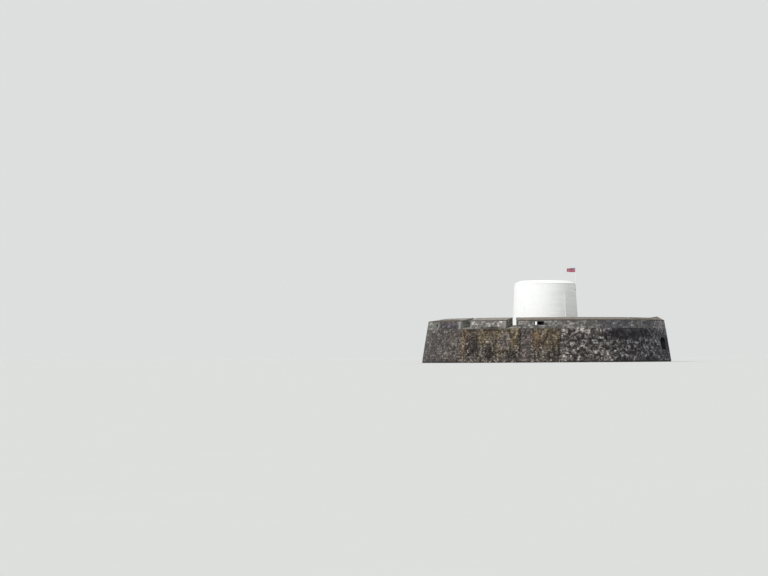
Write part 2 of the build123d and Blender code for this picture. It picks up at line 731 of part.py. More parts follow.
with BuildPart() as downpipe:
    pipe_low = YARD_LEVEL + PIPE_DIAMETER
    shoe_level = pipe_low + PIPE_STANDOFF
    with BuildLine(section_plane(PIPE_HEADING, TOWER_SHIFT)) as pipe_route:
        FilletPolyline(
            (tower_face(PIPE_TOP) - PIPE_DIAMETER, PIPE_TOP),
            (tower_face(PIPE_TOP) + PIPE_STANDOFF, PIPE_TOP),
            (tower_face(shoe_level) + PIPE_STANDOFF, shoe_level),
            (tower_face(shoe_level) + 2 * PIPE_STANDOFF, pipe_low),
            radius=PIPE_BEND,
        )
    with BuildSketch(Plane(pipe_route.line @ 0, z_dir=pipe_route.line % 0)):
        Circle(PIPE_DIAMETER / 2)
    sweep(path=pipe_route.line)
    clip_spacing = (PIPE_TOP - shoe_level) / PIPE_CLIPS
    for clip in range(PIPE_CLIPS):
        clip_level = shoe_level + (clip + 0.5) * clip_spacing
        upright_block(PIPE_HEADING, tower_face(clip_level) - PIPE_STANDOFF,
                      tower_face(clip_level) + PIPE_STANDOFF, PIPE_CLIP_WIDTH / 2,
                      clip_level, clip_level + PIPE_CLIP_HEIGHT, centre=TOWER_SHIFT)
    turn(TOWER_SHADOW, 0, FULL_TURN, centre=TOWER_SHIFT, mode=Mode.SUBTRACT)
finish(downpipe, "downpipe")


# Flagpole, brackets and flag

pole_east, pole_north = outward(POLE_HEADING)
POLE_X = TOWER_SHIFT + POLE_REACH * pole_east
POLE_Y = POLE_REACH * pole_north
POLE_AXIS = Axis((POLE_X, POLE_Y, 0), (0, 0, 1))


def pole_radius(level):
    """Radius of the tapered pole at a level."""
    share = (level - POLE_FOOT) / (POLE_TOP - TRUCK_HEIGHT - POLE_FOOT)
    return (POLE_FOOT_DIAMETER + share * (POLE_TOP_DIAMETER - POLE_FOOT_DIAMETER)) / 2


with BuildPart() as flagpole:
    with BuildSketch(Plane((POLE_X, POLE_Y, 0), x_dir=(1, 0, 0), z_dir=(0, -1, 0))) as pole_section:
        with BuildLine():
            Polyline(
                (0, POLE_FOOT),
                (POLE_FOOT_DIAMETER / 2, POLE_FOOT),
                (POLE_TOP_DIAMETER / 2, POLE_TOP - TRUCK_HEIGHT),
                (TRUCK_DIAMETER / 2, POLE_TOP - TRUCK_HEIGHT),
                (TRUCK_DIAMETER / 2, POLE_TOP - TRUCK_HEIGHT / 2),
                (TRUCK_DIAMETER / 4, POLE_TOP),
                (0, POLE_TOP),
                close=True,
            )
        make_face()
    revolve(pole_section.sketch, axis=POLE_AXIS)
finish(flagpole, "flagpole")

with BuildPart() as pole_brackets:
    for bracket_level in (POLE_FOOT - BRACKET_HEIGHT, POLE_FOOT - BRACKET_HEIGHT + BRACKET_SPACING):
        upright_block(POLE_HEADING, TOWER_CREST_RADIUS, POLE_REACH, BRACKET_WIDTH / 2,
                      bracket_level, bracket_level + BRACKET_HEIGHT, centre=TOWER_SHIFT)
        with BuildSketch(Plane((POLE_X, POLE_Y, bracket_level))):
            Circle(POLE_FOOT_DIAMETER / 2 + BRACKET_COLLAR)
        extrude(amount=BRACKET_HEIGHT)
    turn(TOWER_SHADOW, 0, FULL_TURN, centre=TOWER_SHIFT, mode=Mode.SUBTRACT)
    add(flagpole.part, mode=Mode.SUBTRACT)
finish(pole_brackets, "pole_brackets")

with BuildPart() as flag:
    flag_foot = POLE_TOP - TRUCK_HEIGHT - FLAG_DROP - FLAG_HOIST
    hoist_x = POLE_X - pole_radius(flag_foot) - SEAT_GAP
    with BuildSketch(Plane((hoist_x, POLE_Y, flag_foot))):
        with BuildLine():
            near_edge = Spline(
                (0, FLAG_THICKNESS / 2),
                (-0.25 * FLAG_FLY, FLAG_WAVE),
                (-0.6 * FLAG_FLY, -FLAG_WAVE),
                (-FLAG_FLY, FLAG_WAVE / 2),
            )
            far_edge = Spline(
                (0, -FLAG_THICKNESS / 2),
                (-0.25 * FLAG_FLY, FLAG_WAVE - FLAG_THICKNESS),
                (-0.6 * FLAG_FLY, -FLAG_WAVE - FLAG_THICKNESS),
                (-FLAG_FLY, FLAG_WAVE / 2 - FLAG_THICKNESS),
            )
            Line(near_edge @ 0, far_edge @ 0)
            Line(near_edge @ 1, far_edge @ 1)
        make_face()
    extrude(amount=FLAG_HOIST)
finish(flag, "flag")
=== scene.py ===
# %% [markdown]
# # A white tower in a round granite battery
#
# The real thing is two buildings in one: a low round battery of rubble granite with splayed
# openings for guns, and a white gun tower that stands in the middle of its courtyard. The solids
# are loaded first. They are true in size, but smooth. What they lack is what a mason sees: single
# stones, open joints, slabs, planks and iron. This lesson lays those over the solids, course by
# course, and then paints both.

# %% Load the solids
import bmesh
import bpy
import json
import math
import random

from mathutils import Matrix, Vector, noise


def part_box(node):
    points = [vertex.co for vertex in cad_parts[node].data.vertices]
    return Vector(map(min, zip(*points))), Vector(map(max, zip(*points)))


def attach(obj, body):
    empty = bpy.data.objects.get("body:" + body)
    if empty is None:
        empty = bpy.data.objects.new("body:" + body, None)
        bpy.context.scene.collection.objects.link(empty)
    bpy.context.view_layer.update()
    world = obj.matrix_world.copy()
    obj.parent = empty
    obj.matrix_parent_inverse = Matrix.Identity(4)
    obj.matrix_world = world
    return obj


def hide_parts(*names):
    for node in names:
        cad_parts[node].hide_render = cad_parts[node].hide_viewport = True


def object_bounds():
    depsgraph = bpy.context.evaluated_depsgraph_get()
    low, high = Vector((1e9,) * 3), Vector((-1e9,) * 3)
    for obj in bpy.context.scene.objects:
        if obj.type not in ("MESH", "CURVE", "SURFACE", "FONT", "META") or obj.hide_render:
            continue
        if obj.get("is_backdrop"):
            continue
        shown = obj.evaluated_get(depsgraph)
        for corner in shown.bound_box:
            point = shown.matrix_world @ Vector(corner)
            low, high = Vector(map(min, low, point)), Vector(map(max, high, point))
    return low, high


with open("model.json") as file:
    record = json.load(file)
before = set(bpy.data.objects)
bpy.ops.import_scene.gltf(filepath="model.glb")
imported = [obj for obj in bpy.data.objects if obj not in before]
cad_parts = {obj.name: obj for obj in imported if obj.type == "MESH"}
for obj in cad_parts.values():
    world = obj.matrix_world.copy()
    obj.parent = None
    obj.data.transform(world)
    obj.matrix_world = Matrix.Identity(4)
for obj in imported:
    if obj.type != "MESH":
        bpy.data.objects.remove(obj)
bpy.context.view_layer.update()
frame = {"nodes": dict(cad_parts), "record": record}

# %% [markdown]
# ## The view
#
# The fort is seen from far off over the water, from about the level of its foot. A wide lens from
# close by would bend the round walls. A long lens from 450 m hardly makes them converge, and the
# tops of the parapets show as thin bright edges, as they do from the shore.

# %% Camera
VIEW_DISTANCE, EYE_LEVEL = 450, 1
TILT, ROLL, TURN = 91.399, 0.33, 3.294
camera_data = bpy.data.cameras.new("shore_view")
camera_data.sensor_width = 36
camera_data.lens = 132.2
camera_data.clip_start = 10
camera_data.clip_end = 8000
camera = bpy.data.objects.new("shore_view", camera_data)
bpy.context.collection.objects.link(camera)
camera.location = (0, -VIEW_DISTANCE, EYE_LEVEL)
camera.rotation_euler = [math.radians(angle) for angle in (TILT, ROLL, TURN)]
bpy.context.scene.camera = camera
bpy.context.scene.view_settings.view_transform = "Standard"
print("camera:", tuple(camera.location), "lens", camera_data.lens)

# %% [markdown]
# ## Places on a round fort
#
# Everything here stands in rings, so a place is easier to say as a heading, a distance out and a
# level than as x and y. Heading 0 is the front, and headings grow towards the gateway on the
# right. A few helpers turn one into the other, so that no piece needs a table of coordinates.

# %% Headings and places
def outward(heading):
    """East and north parts of a heading, which is measured from the front of the fort."""
    return math.sin(math.radians(heading)), -math.cos(math.radians(heading))


def heading_of(point, centre=0.0):
    """Heading of a point seen from an upright axis, from -180 to 180."""
    return math.degrees(math.atan2(point[0] - centre, -point[1]))


def apart(heading, other):
    """How far one heading is past another, from -180 to 180."""
    return (heading - other + 180) % 360 - 180


def place(heading, distance, side, level, centre=0.0):
    """Point at a distance out along a heading and off to its side."""
    east, north = outward(heading)
    return Vector((centre + distance * east - side * north, distance * north + side * east, level))


def reach(point, heading, centre=0.0):
    """Distance of a point out along a heading, and its distance off to the side."""
    east, north = outward(heading)
    return ((point[0] - centre) * east + point[1] * north,
            -(point[0] - centre) * north + point[1] * east)


print("2 m out at heading 90 is", tuple(round(part, 3) for part in place(90, 2, 0, 0)))

# %% [markdown]
# ## Picking
#
# Every piece below is worked in edit mode with the same few moves: pick the faces that lie in some
# place, then cut, delete, inset or raise them. By hand that is a click. In a script it is a test
# on one face, edge or vertex, and whatever passes is selected. Chance belongs to a place here and
# not to a list of draws, so a stone keeps its look when others are added or taken away.

# %% Picking helpers
dice = random.Random(21)


def chance(point, salt=0):
    """A number from 0 to 1 that belongs to a place, so that every run gives the same stones."""
    return random.Random(f"{salt} {point[0]:.2f} {point[1]:.2f} {point[2]:.2f}").random()


def leave_edit():
    """Back to object mode with nothing selected."""
    if bpy.context.mode != "OBJECT":
        bpy.ops.object.mode_set(mode="OBJECT")
    bpy.ops.object.select_all(action="DESELECT")


def open_mesh():
    return bmesh.from_edit_mesh(bpy.context.object.data)


def pick(kind, wanted):
    """In edit mode, select what passes a test and nothing else, and say how many that is."""
    bpy.ops.mesh.select_mode(type=kind)
    bpy.ops.mesh.select_all(action="DESELECT")
    mesh = open_mesh()
    found = [part for part in {"VERT": mesh.verts, "EDGE": mesh.edges, "FACE": mesh.faces}[kind]
             if wanted(part)]
    for part in found:
        part.select_set(True)
    mesh.select_flush_mode()
    bmesh.update_edit_mesh(bpy.context.object.data, loop_triangles=False, destructive=False)
    return len(found)


def centre_of(face):
    return face.calc_center_median()


print("chance at the front of the foot:", round(chance((0, -19.8, 0)), 3))

# %% [markdown]
# ## Cutting
#
# A gun opening or a doorway cuts straight through the courses, whatever stones are in the way. The
# bisect operator does the same: it splits the picked faces where a plane passes through them. Most
# planes here stand upright beside a heading, some of them splayed, so one helper makes those.

# %% Cutting helpers
def near(heading, width, centre=0.0):
    """Test for faces that lie within so many degrees of a heading."""
    return lambda face: abs(apart(heading_of(centre_of(face), centre), heading)) < width


def cut_plane(point, normal, wanted):
    """Split the picked faces where a plane passes through them."""
    if pick("FACE", wanted):
        bpy.ops.mesh.bisect(plane_co=point, plane_no=normal)


def cut_side(heading, side, wanted, splay=0.0, centre=0.0):
    """Split the picked faces along an upright plane beside a heading."""
    east, north = outward(heading)
    normal = Vector((-north - splay * east, east - splay * north, 0)).normalized()
    cut_plane(place(heading, 0, side, 0, centre), normal, wanted)


def cut_off(planes):
    """Cut everything off beyond each of these planes."""
    for point, normal in planes:
        bpy.ops.mesh.select_all(action="SELECT")
        bpy.ops.mesh.bisect(plane_co=point, plane_no=normal, clear_outer=True)


def clear_away(wanted):
    """Delete the faces that pass a test."""
    if pick("FACE", wanted):
        bpy.ops.mesh.delete(type="FACE")


print("heading 359 is", apart(359, 0), "degrees past the front")

# %% [markdown]
# ## Laying courses
#
# A rubble wall is laid in courses. Single blocks could be stacked, but their hidden sides would
# waste most of the mesh. Here a course starts as a circle at its foot. The circle's edges are
# extruded up to the next bed and scaled in by the batter, which leaves a ring of equal oblong
# faces. Every ring is turned by a chance amount so that the upright joints break, and some
# neighbours are joined into longer stones. The same helper lays paving and sloping slabs, because
# a course may also run inwards or up a slope.

# %% Course helpers
def lay_courses(name, courses, unit, centre=0.0):
    """A ring of faces for each course, given as a line of (radius, level) points."""
    leave_edit()
    for line in courses:
        radius, level = line[0]
        count = max(10, round(math.tau * max(r for r, _ in line) / unit))
        bpy.ops.mesh.primitive_circle_add(vertices=count, radius=radius, fill_type="NOTHING",
                                          location=(centre, 0, level),
                                          rotation=(0, 0, dice.uniform(0, math.tau / count)))
        if bpy.context.mode == "OBJECT":
            bpy.context.object.name = name
            bpy.ops.object.transform_apply(location=True, rotation=True, scale=True)
            bpy.ops.object.mode_set(mode="EDIT")
            bpy.ops.mesh.select_mode(type="EDGE")
            bpy.ops.mesh.select_all(action="SELECT")
        for new_radius, new_level in line[1:]:
            rise = (0, 0, new_level - level)
            bpy.ops.mesh.extrude_edges_move(TRANSFORM_OT_translate={"value": rise})
            share = new_radius / radius
            bpy.ops.transform.resize(value=(share, share, 1), center_override=(centre, 0, new_level))
            radius, level = new_radius, new_level
    return bpy.context.object


def beds(bottom, top, count, waver=0.0):
    """Levels of the beds between two levels, some courses higher than others."""
    step = (top - bottom) / count
    inner = [bottom + step * (index + dice.uniform(-waver, waver)) for index in range(1, count)]
    return [bottom] + inner + [top]


def upright_courses(levels, face, sunk=0.004):
    """One course between each two levels, just behind the face of the solid."""
    return [[(face(low) - sunk, low), (face(high) - sunk, high)] for low, high in zip(levels, levels[1:])]


def flat_courses(rings, level):
    """One level course between each two rings, laid from the outside in."""
    return [[(outer, level - 0.002), (inner, level - 0.002)] for inner, outer in zip(rings, rings[1:])]


print("a level course:", flat_courses([1, 2], 0)[0])

# %% [markdown]
# ## Turning faces and joining stones
#
# A ring that was extruded inwards faces down, and one that was extruded up may face the middle of
# the fort. Recalculating normals guesses what is outside, and an open ring gives it nothing to go
# by. So each piece says itself what outside is, and the faces that disagree are flipped.

# %% Turning and joining helpers
def turn_faces(outside):
    """Make every face point the way that a test calls outside."""
    if pick("FACE", lambda face: not outside(face)):
        bpy.ops.mesh.flip_normals()


def face_up():
    turn_faces(lambda face: face.normal.z > 0)


def face_round(axis=0.0, way=1):
    """Make every face point away from an upright axis, or towards it if way is -1."""
    def outside(face):
        middle = centre_of(face)
        return way * Vector((middle.x - axis, middle.y, 0)).dot(face.normal) > 0
    turn_faces(outside)


def middle_of(edge):
    return (edge.verts[0].co + edge.verts[1].co) / 2


def is_upright(edge, centre=0.0):
    """A joint between two stones of one course, rather than a bed or the edge of a slab."""
    if len(edge.link_faces) != 2:
        return False
    east, north = outward(heading_of(middle_of(edge), centre))
    run = edge.verts[1].co - edge.verts[0].co
    return abs(run.y * east - run.x * north) < 0.5 * run.length


def dissolve(wanted, keep_points=False):
    """Take out the edges that pass a test, so that the stones beside them become one."""
    pick("EDGE", wanted)
    bpy.ops.mesh.dissolve_edges(use_verts=not keep_points, use_face_split=False)


def join_some(share, centre=0.0, keep_points=False):
    """Take out a share of the upright joints, so that stones have different lengths."""
    dissolve(lambda edge: is_upright(edge, centre) and chance(middle_of(edge)) < share, keep_points)


def join_panel_stones(share, rising):
    """The same on flat panels, where rising tells the joints from the beds."""
    dissolve(lambda edge: len(edge.link_faces) == 2 and chance(middle_of(edge)) < share and rising(edge))


def is_steep(edge):
    return abs(edge.verts[0].co.z - edge.verts[1].co.z) > 0.1


print("joints are told from beds by their direction")

# %% [markdown]
# ## Loose beds
#
# Rubble has no straight beds. Nudging every corner of the rings by chance makes the stones uneven,
# but it also moves corners in and out of the wall. So a plain drum with the batter of the wall is
# added, the stones are pressed onto it with a Shrinkwrap modifier, and the drum is thrown away.

# %% Loose beds
def press_on(drum):
    """Press the piece in hand onto a surface, and go back into edit mode."""
    bpy.ops.object.mode_set(mode="OBJECT")
    press = bpy.context.object.modifiers.new("press", "SHRINKWRAP")
    press.target = drum
    bpy.ops.object.modifier_apply(modifier=press.name)
    bpy.ops.object.mode_set(mode="EDIT")


def loosen(amount, foot, head):
    """Nudge the corners of a ringed wall, on a drum with these two (radius, level) ends."""
    piece = bpy.context.object
    bpy.ops.mesh.select_mode(type="VERT")
    bpy.ops.mesh.select_all(action="SELECT")
    bpy.ops.transform.vertex_random(offset=amount, uniform=1, normal=0, seed=dice.randrange(10000))
    bpy.ops.object.mode_set(mode="OBJECT")
    bpy.ops.mesh.primitive_cone_add(vertices=400, radius1=foot[0], radius2=head[0],
                                    depth=head[1] - foot[1], end_fill_type="NOTHING",
                                    location=(0, 0, (foot[1] + head[1]) / 2))
    drum = bpy.context.object
    bpy.context.view_layer.objects.active = piece
    bpy.ops.object.mode_set(mode="EDIT")
    press_on(drum)
    bpy.data.objects.remove(drum)


print("drums have 400 sides, which is within 1 mm of round at this size")

# %% [markdown]
# ## Flat panels
#
# The cheek of a gun opening, a door or a ramp is flat. It starts as a grid, with a square for each
# stone or plank, turned to face a heading. Panels that belong together become one piece. Where a
# feature repeats round the fort it is built once at heading 0, and its copies are turned.

# %% Panel helpers
def lay_panel(columns, rows, width, height, tilt, heading, middle):
    """A flat grid of stones, tilted up from level, turned to face a heading and put in its place."""
    leave_edit()
    turn = (math.radians(tilt), 0, math.radians(heading))
    bpy.ops.mesh.primitive_grid_add(x_subdivisions=columns, y_subdivisions=rows, size=1,
                                    location=middle, rotation=turn)
    bpy.context.object.scale = (width, height, 1)
    bpy.ops.object.transform_apply(location=True, rotation=True, scale=True)
    return bpy.context.object


def join_panels(name, panels):
    """Make several panels one piece and open it in edit mode."""
    leave_edit()
    for panel in panels:
        panel.select_set(True)
    bpy.context.view_layer.objects.active = panels[0]
    if len(panels) > 1:
        bpy.ops.object.join()
    panels[0].name = name
    bpy.ops.object.mode_set(mode="EDIT")
    return panels[0]


def copy_round(piece, headings):
    """Copies of a piece that was made at heading 0, turned to other headings, in place of it."""
    name = piece.name
    copies = []
    for heading in headings:
        leave_edit()
        piece.select_set(True)
        bpy.context.view_layer.objects.active = piece
        bpy.ops.object.duplicate()
        bpy.context.object.rotation_euler.z = math.radians(heading)
        bpy.ops.object.transform_apply(location=True, rotation=True, scale=True)
        copies.append(bpy.context.object)
    bpy.data.objects.remove(piece)
    return join_panels(name, copies)


print("a panel is made at heading 0 and turned in its place")

# %% [markdown]
# ## Dressing stones
#
# A stone is a flat patch of the wall until it has a joint round it and a face that stands out. A
# bump map could draw both, but not the shadow in a joint or a broken outline. So each patch is
# inset by half a joint and its rim deleted, and the solid behind shows as mortar. Two more insets
# with depth raise a rounded arris and the face. Each stone first gets a tone, which the paint
# reads later, and a group, which sets how far it stands out. An inset without even offset moves a
# corner by its thickness, but a side by only seven tenths of it, so it is made that much thicker.

# %% Joints and faces
def grade(groups, tone=None, group=None):
    """Give each face its tone, and the group that decides its relief."""
    mesh = open_mesh()
    tones = mesh.faces.layers.float.get("tone") or mesh.faces.layers.float.new("tone")
    kinds = mesh.faces.layers.int.get("relief") or mesh.faces.layers.int.new("relief")
    for face in mesh.faces:
        face[tones] = tone(face) if tone else chance(centre_of(face), 1)
        face[kinds] = group(face) if group else int(chance(centre_of(face), 2) * groups)
    bmesh.update_edit_mesh(bpy.context.object.data)


UNEVEN_INSET, SLIVER = 1.3, 2.2


def mean_width(face):
    """Width of a stone of this area and girth. A sliver that a cut has left is narrower than a joint."""
    return 2 * face.calc_area() / max(1e-6, sum(edge.calc_length() for edge in face.edges))


def open_joints(joint, together=False):
    """Clear slivers away, then take a strip as wide as joint off every stone all round."""
    clear_away(lambda face: mean_width(face) < SLIVER * joint)
    bpy.ops.mesh.select_mode(type="FACE")
    bpy.ops.mesh.select_all(action="SELECT")
    bpy.ops.mesh.inset(thickness=joint * UNEVEN_INSET, use_individual=not together, use_boundary=True,
                       use_even_offset=False)
    bpy.ops.mesh.select_all(action="INVERT")
    bpy.ops.mesh.delete(type="FACE")


def raise_stones(reliefs, arris, together=False):
    """Raise each group of stones by its own relief, with a worn arris."""
    for group, relief in enumerate(reliefs):
        kinds = open_mesh().faces.layers.int["relief"]
        if not pick("FACE", lambda face: face[kinds] == group):
            continue
        for inwards, upwards in ((arris * 0.5, relief * 0.65), (arris * 1.3, relief * 0.35)):
            bpy.ops.mesh.inset(thickness=inwards, depth=upwards, use_individual=not together,
                               use_boundary=True, use_even_offset=False)


print("stones narrower than", SLIVER, "strips are cleared")

# %% [markdown]
# ## Weather, and handing a piece over
#
# Old faces are never quite flat. A Displace modifier with a cloud texture moves the corners of the
# stones by a centimetre or so. It is applied at once, so that the mesh itself holds the weathering.
# The finished piece then rides on the fort. One helper does all of this in order, so that a piece
# below needs only its joint, its reliefs and its arris.

# %% Dressing helper
clouds = bpy.data.textures.new("uneven", "CLOUDS")
clouds.noise_scale = 0.16


def hand_over(piece, rough=0.0):
    """Weather the faces a little, and let the piece ride on the fort."""
    leave_edit()
    if rough:
        bpy.context.view_layer.objects.active = piece
        weather = piece.modifiers.new("weather", "DISPLACE")
        weather.texture = clouds
        weather.texture_coords = "LOCAL"
        weather.strength = rough
        weather.mid_level = 0.5
        bpy.ops.object.modifier_apply(modifier=weather.name)
    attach(piece, "root")
    triangles = sum(len(face.vertices) - 2 for face in piece.data.polygons)
    print(piece.name, len(piece.data.polygons), "faces", triangles, "triangles")


def dress(piece, joint, reliefs, arris, tone=None, group=None, together=False, rough=0.0):
    """Turn the patches of a piece into stones and hand it over."""
    grade(len(reliefs), tone, group)
    open_joints(joint, together)
    raise_stones(reliefs, arris, together)
    hand_over(piece, rough)


print("clouds for weathering:", clouds.noise_scale, "m across")

# %% [markdown]
# ## Sizes of the fort
#
# The stones have to follow the solids, so the sizes of the solids come back here, in metres and
# degrees. The battery's face leans in by its batter, so its radius is worked out from the level.
# The sizes of the gateway, the gun openings and the tower follow where they are first needed.

# %% Sizes of the battery wall
FOOT_RADIUS, BATTER = 19.8, 0.165
YARD_RADIUS, YARD_LEVEL = 16.19625, 4.75
SILL_LIP, SILL_LEVEL = 5.25, 5.75


def wall_face(level):
    return FOOT_RADIUS - BATTER * level


print("radius of the wall at its foot", wall_face(0), "and at the sills", round(wall_face(SILL_LIP), 3))

# %% [markdown]
# ## Rubble of the battery wall
#
# The wall below the parapet is coursed granite rubble, in stones a foot or so long. It runs all
# the way round, under the gun openings, and stops at the gateway and at the two lengths of older
# castle wall. Twenty rings make the courses. They are loosened before any joints are taken out,
# while every ring still closes, and then the gateway and the castle spans are cleared.

# %% Scarp courses
scarp = lay_courses("scarp_stones", upright_courses(beds(0.03, SILL_LIP, 20, 0.3), wall_face), 0.27)
face_round()
loosen(0.03, (FOOT_RADIUS - 0.004, 0), (wall_face(7) - 0.004, 7))
join_some(0.28)
CASTLE_SPANS = [(-42, -12), (-7, 6.1)]
GATE_HEADING, GATE_HALF, GATE_SPRING, GATE_SURROUND = 71.3, 1.3, 3.497, 0.36
SURROUND_FOOT, SURROUND_RISE = 1.5, 0.74


def in_castle(point):
    return any(low < heading_of(point) < high for low, high in CASTLE_SPANS)


def in_gateway(point):
    """Whether a point of the wall is taken up by the gateway and its dressed surround."""
    out, side = reach(point, GATE_HEADING)
    half = GATE_HALF + GATE_SURROUND
    arch = GATE_SPRING + SURROUND_RISE * (1 - (side / half) ** 2) if abs(side) < half else 0
    return out > 0 and abs(side) < half and SURROUND_FOOT < point[2] < arch


clear_away(lambda face: all(in_castle(vertex.co) for vertex in face.verts))
for side in (GATE_HALF + GATE_SURROUND, -GATE_HALF - GATE_SURROUND):
    cut_side(GATE_HEADING, side, near(GATE_HEADING, 8))
cut_plane((0, 0, SURROUND_FOOT), (0, 0, 1), near(GATE_HEADING, 8))
clear_away(lambda face: in_gateway(centre_of(face)))
print("stones in the wall:", len(open_mesh().faces))

# %% [markdown]
# ## Tones of the rubble
#
# Left of the front the stones are an even grey. Towards the gateway pale and dark ones lie mixed
# like a patchwork. A slow noise over the wall gives the patches, and chance gives each stone its
# own tone on top. The lowest course hardly stands out, so that the foot stays on its line.

# %% Scarp stones
PATCHWORK = (0, 75)


def rubble_tone(face):
    """Tone from 0 to 1 of a stone in the battery wall."""
    patch_tone = noise.noise(centre_of(face) * 1.3)
    if PATCHWORK[0] < heading_of(centre_of(face)) < PATCHWORK[1]:
        return min(1, max(0, 0.08 + patch_tone * 0.8 + 0.84 * chance(centre_of(face))))
    return min(1, max(0, 0.14 + patch_tone * 0.25 + 0.68 * chance(centre_of(face))))


def foot_or_any(face):
    return 0 if centre_of(face).z < 0.3 else 1 + int(chance(centre_of(face), 3) * 3)


dress(scarp, joint=0.010, reliefs=[0.004, 0.012, 0.022, 0.034], arris=0.022,
      tone=rubble_tone, group=foot_or_any, rough=0.012)

# %% [markdown]
# ## Gun openings and the loophole
#
# The eight gun openings are narrow at the inner end and splay outwards, more to one side than to
# the other. A loophole for muskets is half as wide. What lies between the two cheeks of an
# opening has to go from every ring that crosses it. One set of helpers says where the cheeks are,
# so that the parapet, the capping and the sills all stop at the same planes.

# %% Opening helpers
EMBRASURES = [-143.8 + 25.3 * step for step in range(6)] + [52, 128]
THROAT_HALF, THROAT_END = 0.34, YARD_RADIUS + 0.3
LEFT_SPLAY, RIGHT_SPLAY = 0.11077, 0.47179
CHEEKS = ((LEFT_SPLAY, -1), (RIGHT_SPLAY, 1))
LOOPHOLE, LOOPHOLE_LEFT, LOOPHOLE_THROAT, LOOPHOLE_HEAD = -3.2, -0.81, 0.32, 6.3
LOOPHOLE_SPLAY = 1.3 / (FOOT_RADIUS - BATTER * SILL_LEVEL - YARD_RADIUS)


def cheek_sides(out):
    """How far the two cheeks of a gun opening lie to the side, at a distance out."""
    spread = max(0.0, out - THROAT_END)
    return -THROAT_HALF - LEFT_SPLAY * spread, THROAT_HALF + RIGHT_SPLAY * spread


def in_embrasure(point):
    for heading in EMBRASURES:
        out, side = reach(point, heading)
        left, right = cheek_sides(out)
        if out > 0 and left < side < right:
            return True
    return False


def split_cheeks(widths=(0, 0)):
    """Split faces along the cheeks of every gun opening, or along lines so far beside them."""
    for heading in EMBRASURES:
        for (splay, turn), width in zip(CHEEKS, widths):
            side = turn * (THROAT_HALF - splay * THROAT_END + width)
            cut_side(heading, side, near(heading, 8), turn * splay)


def loophole_right(out):
    return LOOPHOLE_LEFT + LOOPHOLE_THROAT + LOOPHOLE_SPLAY * (out - YARD_RADIUS)


def in_loophole(point):
    out, side = reach(point, LOOPHOLE)
    return out > 0 and LOOPHOLE_LEFT < side < loophole_right(out) and SILL_LEVEL < point[2] < LOOPHOLE_HEAD


def split_loophole(out):
    """Split faces at a distance out along the four sides of the loophole, and clear it."""
    for side in (LOOPHOLE_LEFT, loophole_right(out)):
        cut_side(LOOPHOLE, side, near(LOOPHOLE, 5))
    for level in (SILL_LEVEL, LOOPHOLE_HEAD):
        cut_plane((0, 0, level), (0, 0, 1), near(LOOPHOLE, 4))
    clear_away(lambda face: in_loophole(centre_of(face)))


print("gun openings:", len(EMBRASURES), "cheeks at the outer face:", cheek_sides(wall_face(SILL_LIP)))

# %% [markdown]
# ## Parapet
#
# Above the level of the sills the wall is faced with larger and smoother stones, and pale squared
# quoins edge each gun opening. The rings are cut along the cheeks, and again beside them for the
# quoins. A quoin takes a tone above 1, which no other stone has, so the paint can tell it apart
# without a second material.

# %% Parapet stones
SEAT_OUT, SEAT_IN = 6.40, 6.80
parapet = lay_courses("parapet_stones", upright_courses(beds(SILL_LIP, SEAT_OUT, 4, 0.1), wall_face), 0.38)
face_round()
join_some(0.35)
QUOINS, QUOIN_TONE = (0.45, 0.32), 1.5


def is_quoin(point):
    """Whether a point on the wall lies in the dressed stones at the edges of a gun opening."""
    for heading in EMBRASURES:
        out, side = reach(point, heading)
        left, right = cheek_sides(out)
        if out > 0 and (left - QUOINS[0] < side < left or right < side < right + QUOINS[1]):
            return True
    return False


split_cheeks()
split_cheeks(QUOINS)
clear_away(lambda face: in_embrasure(centre_of(face)))
split_loophole(wall_face(6))
dress(parapet, joint=0.008, reliefs=[0.008, 0.014, 0.022], arris=0.016, rough=0.006,
      tone=lambda face: QUOIN_TONE if is_quoin(centre_of(face)) else chance(centre_of(face)))

# %% [markdown]
# ## Inner face of the parapet
#
# The courtyard side is upright and faced with smaller stones. The gun openings pass through it at
# their throats, which have straight sides. It is laid like the outer face, with its faces turned
# towards the middle.

# %% Inner stones
INNER_FACE = YARD_RADIUS + 0.004
inner = lay_courses("parapet_inner_stones", upright_courses(
    beds(YARD_LEVEL, SEAT_IN, 7, 0.1), lambda level: INNER_FACE, 0), 0.34)
face_round(way=-1)
join_some(0.35)
for heading in EMBRASURES:
    for side in (THROAT_HALF, -THROAT_HALF):
        cut_side(heading, side, near(heading, 4))
    cut_plane((0, 0, SILL_LEVEL), (0, 0, 1), near(heading, 4))
clear_away(lambda face: in_embrasure(centre_of(face)) and centre_of(face).z > SILL_LEVEL)
split_loophole(YARD_RADIUS)
dress(inner, joint=0.008, reliefs=[0.006, 0.012, 0.020], arris=0.016, rough=0.006)

# %% [markdown]
# ## Capping
#
# Long dressed slabs cover the parapet and slope outwards, so that shot and rain glance off. Each
# slab of the outer row turns down over the face as a lip, and each of the inner row does too. A
# slab with a lip is two faces that belong together. The rings are therefore split only at their
# upright joints, and the insets treat what is still connected as one stone.

# %% Capping slabs
RIM_LEVEL, CREST_LEVEL, CAPPING_JOINTS = 6.55, 6.95, (17.95, 17.05)


def crest(radius):
    """Level of the sloping top of the parapet."""
    return RIM_LEVEL + (CREST_LEVEL - RIM_LEVEL) * (wall_face(RIM_LEVEL) - radius) / (
        wall_face(RIM_LEVEL) - YARD_RADIUS)


outer_joint, inner_joint = [(radius, crest(radius) - 0.002) for radius in CAPPING_JOINTS]
capping = lay_courses("capping_slabs", [
    [(wall_face(SEAT_OUT) - 0.003, SEAT_OUT), (wall_face(RIM_LEVEL) - 0.003, RIM_LEVEL - 0.002), outer_joint],
    [outer_joint, inner_joint],
    [inner_joint, (YARD_RADIUS + 0.003, CREST_LEVEL - 0.002), (YARD_RADIUS + 0.003, SEAT_IN)]], 0.85)


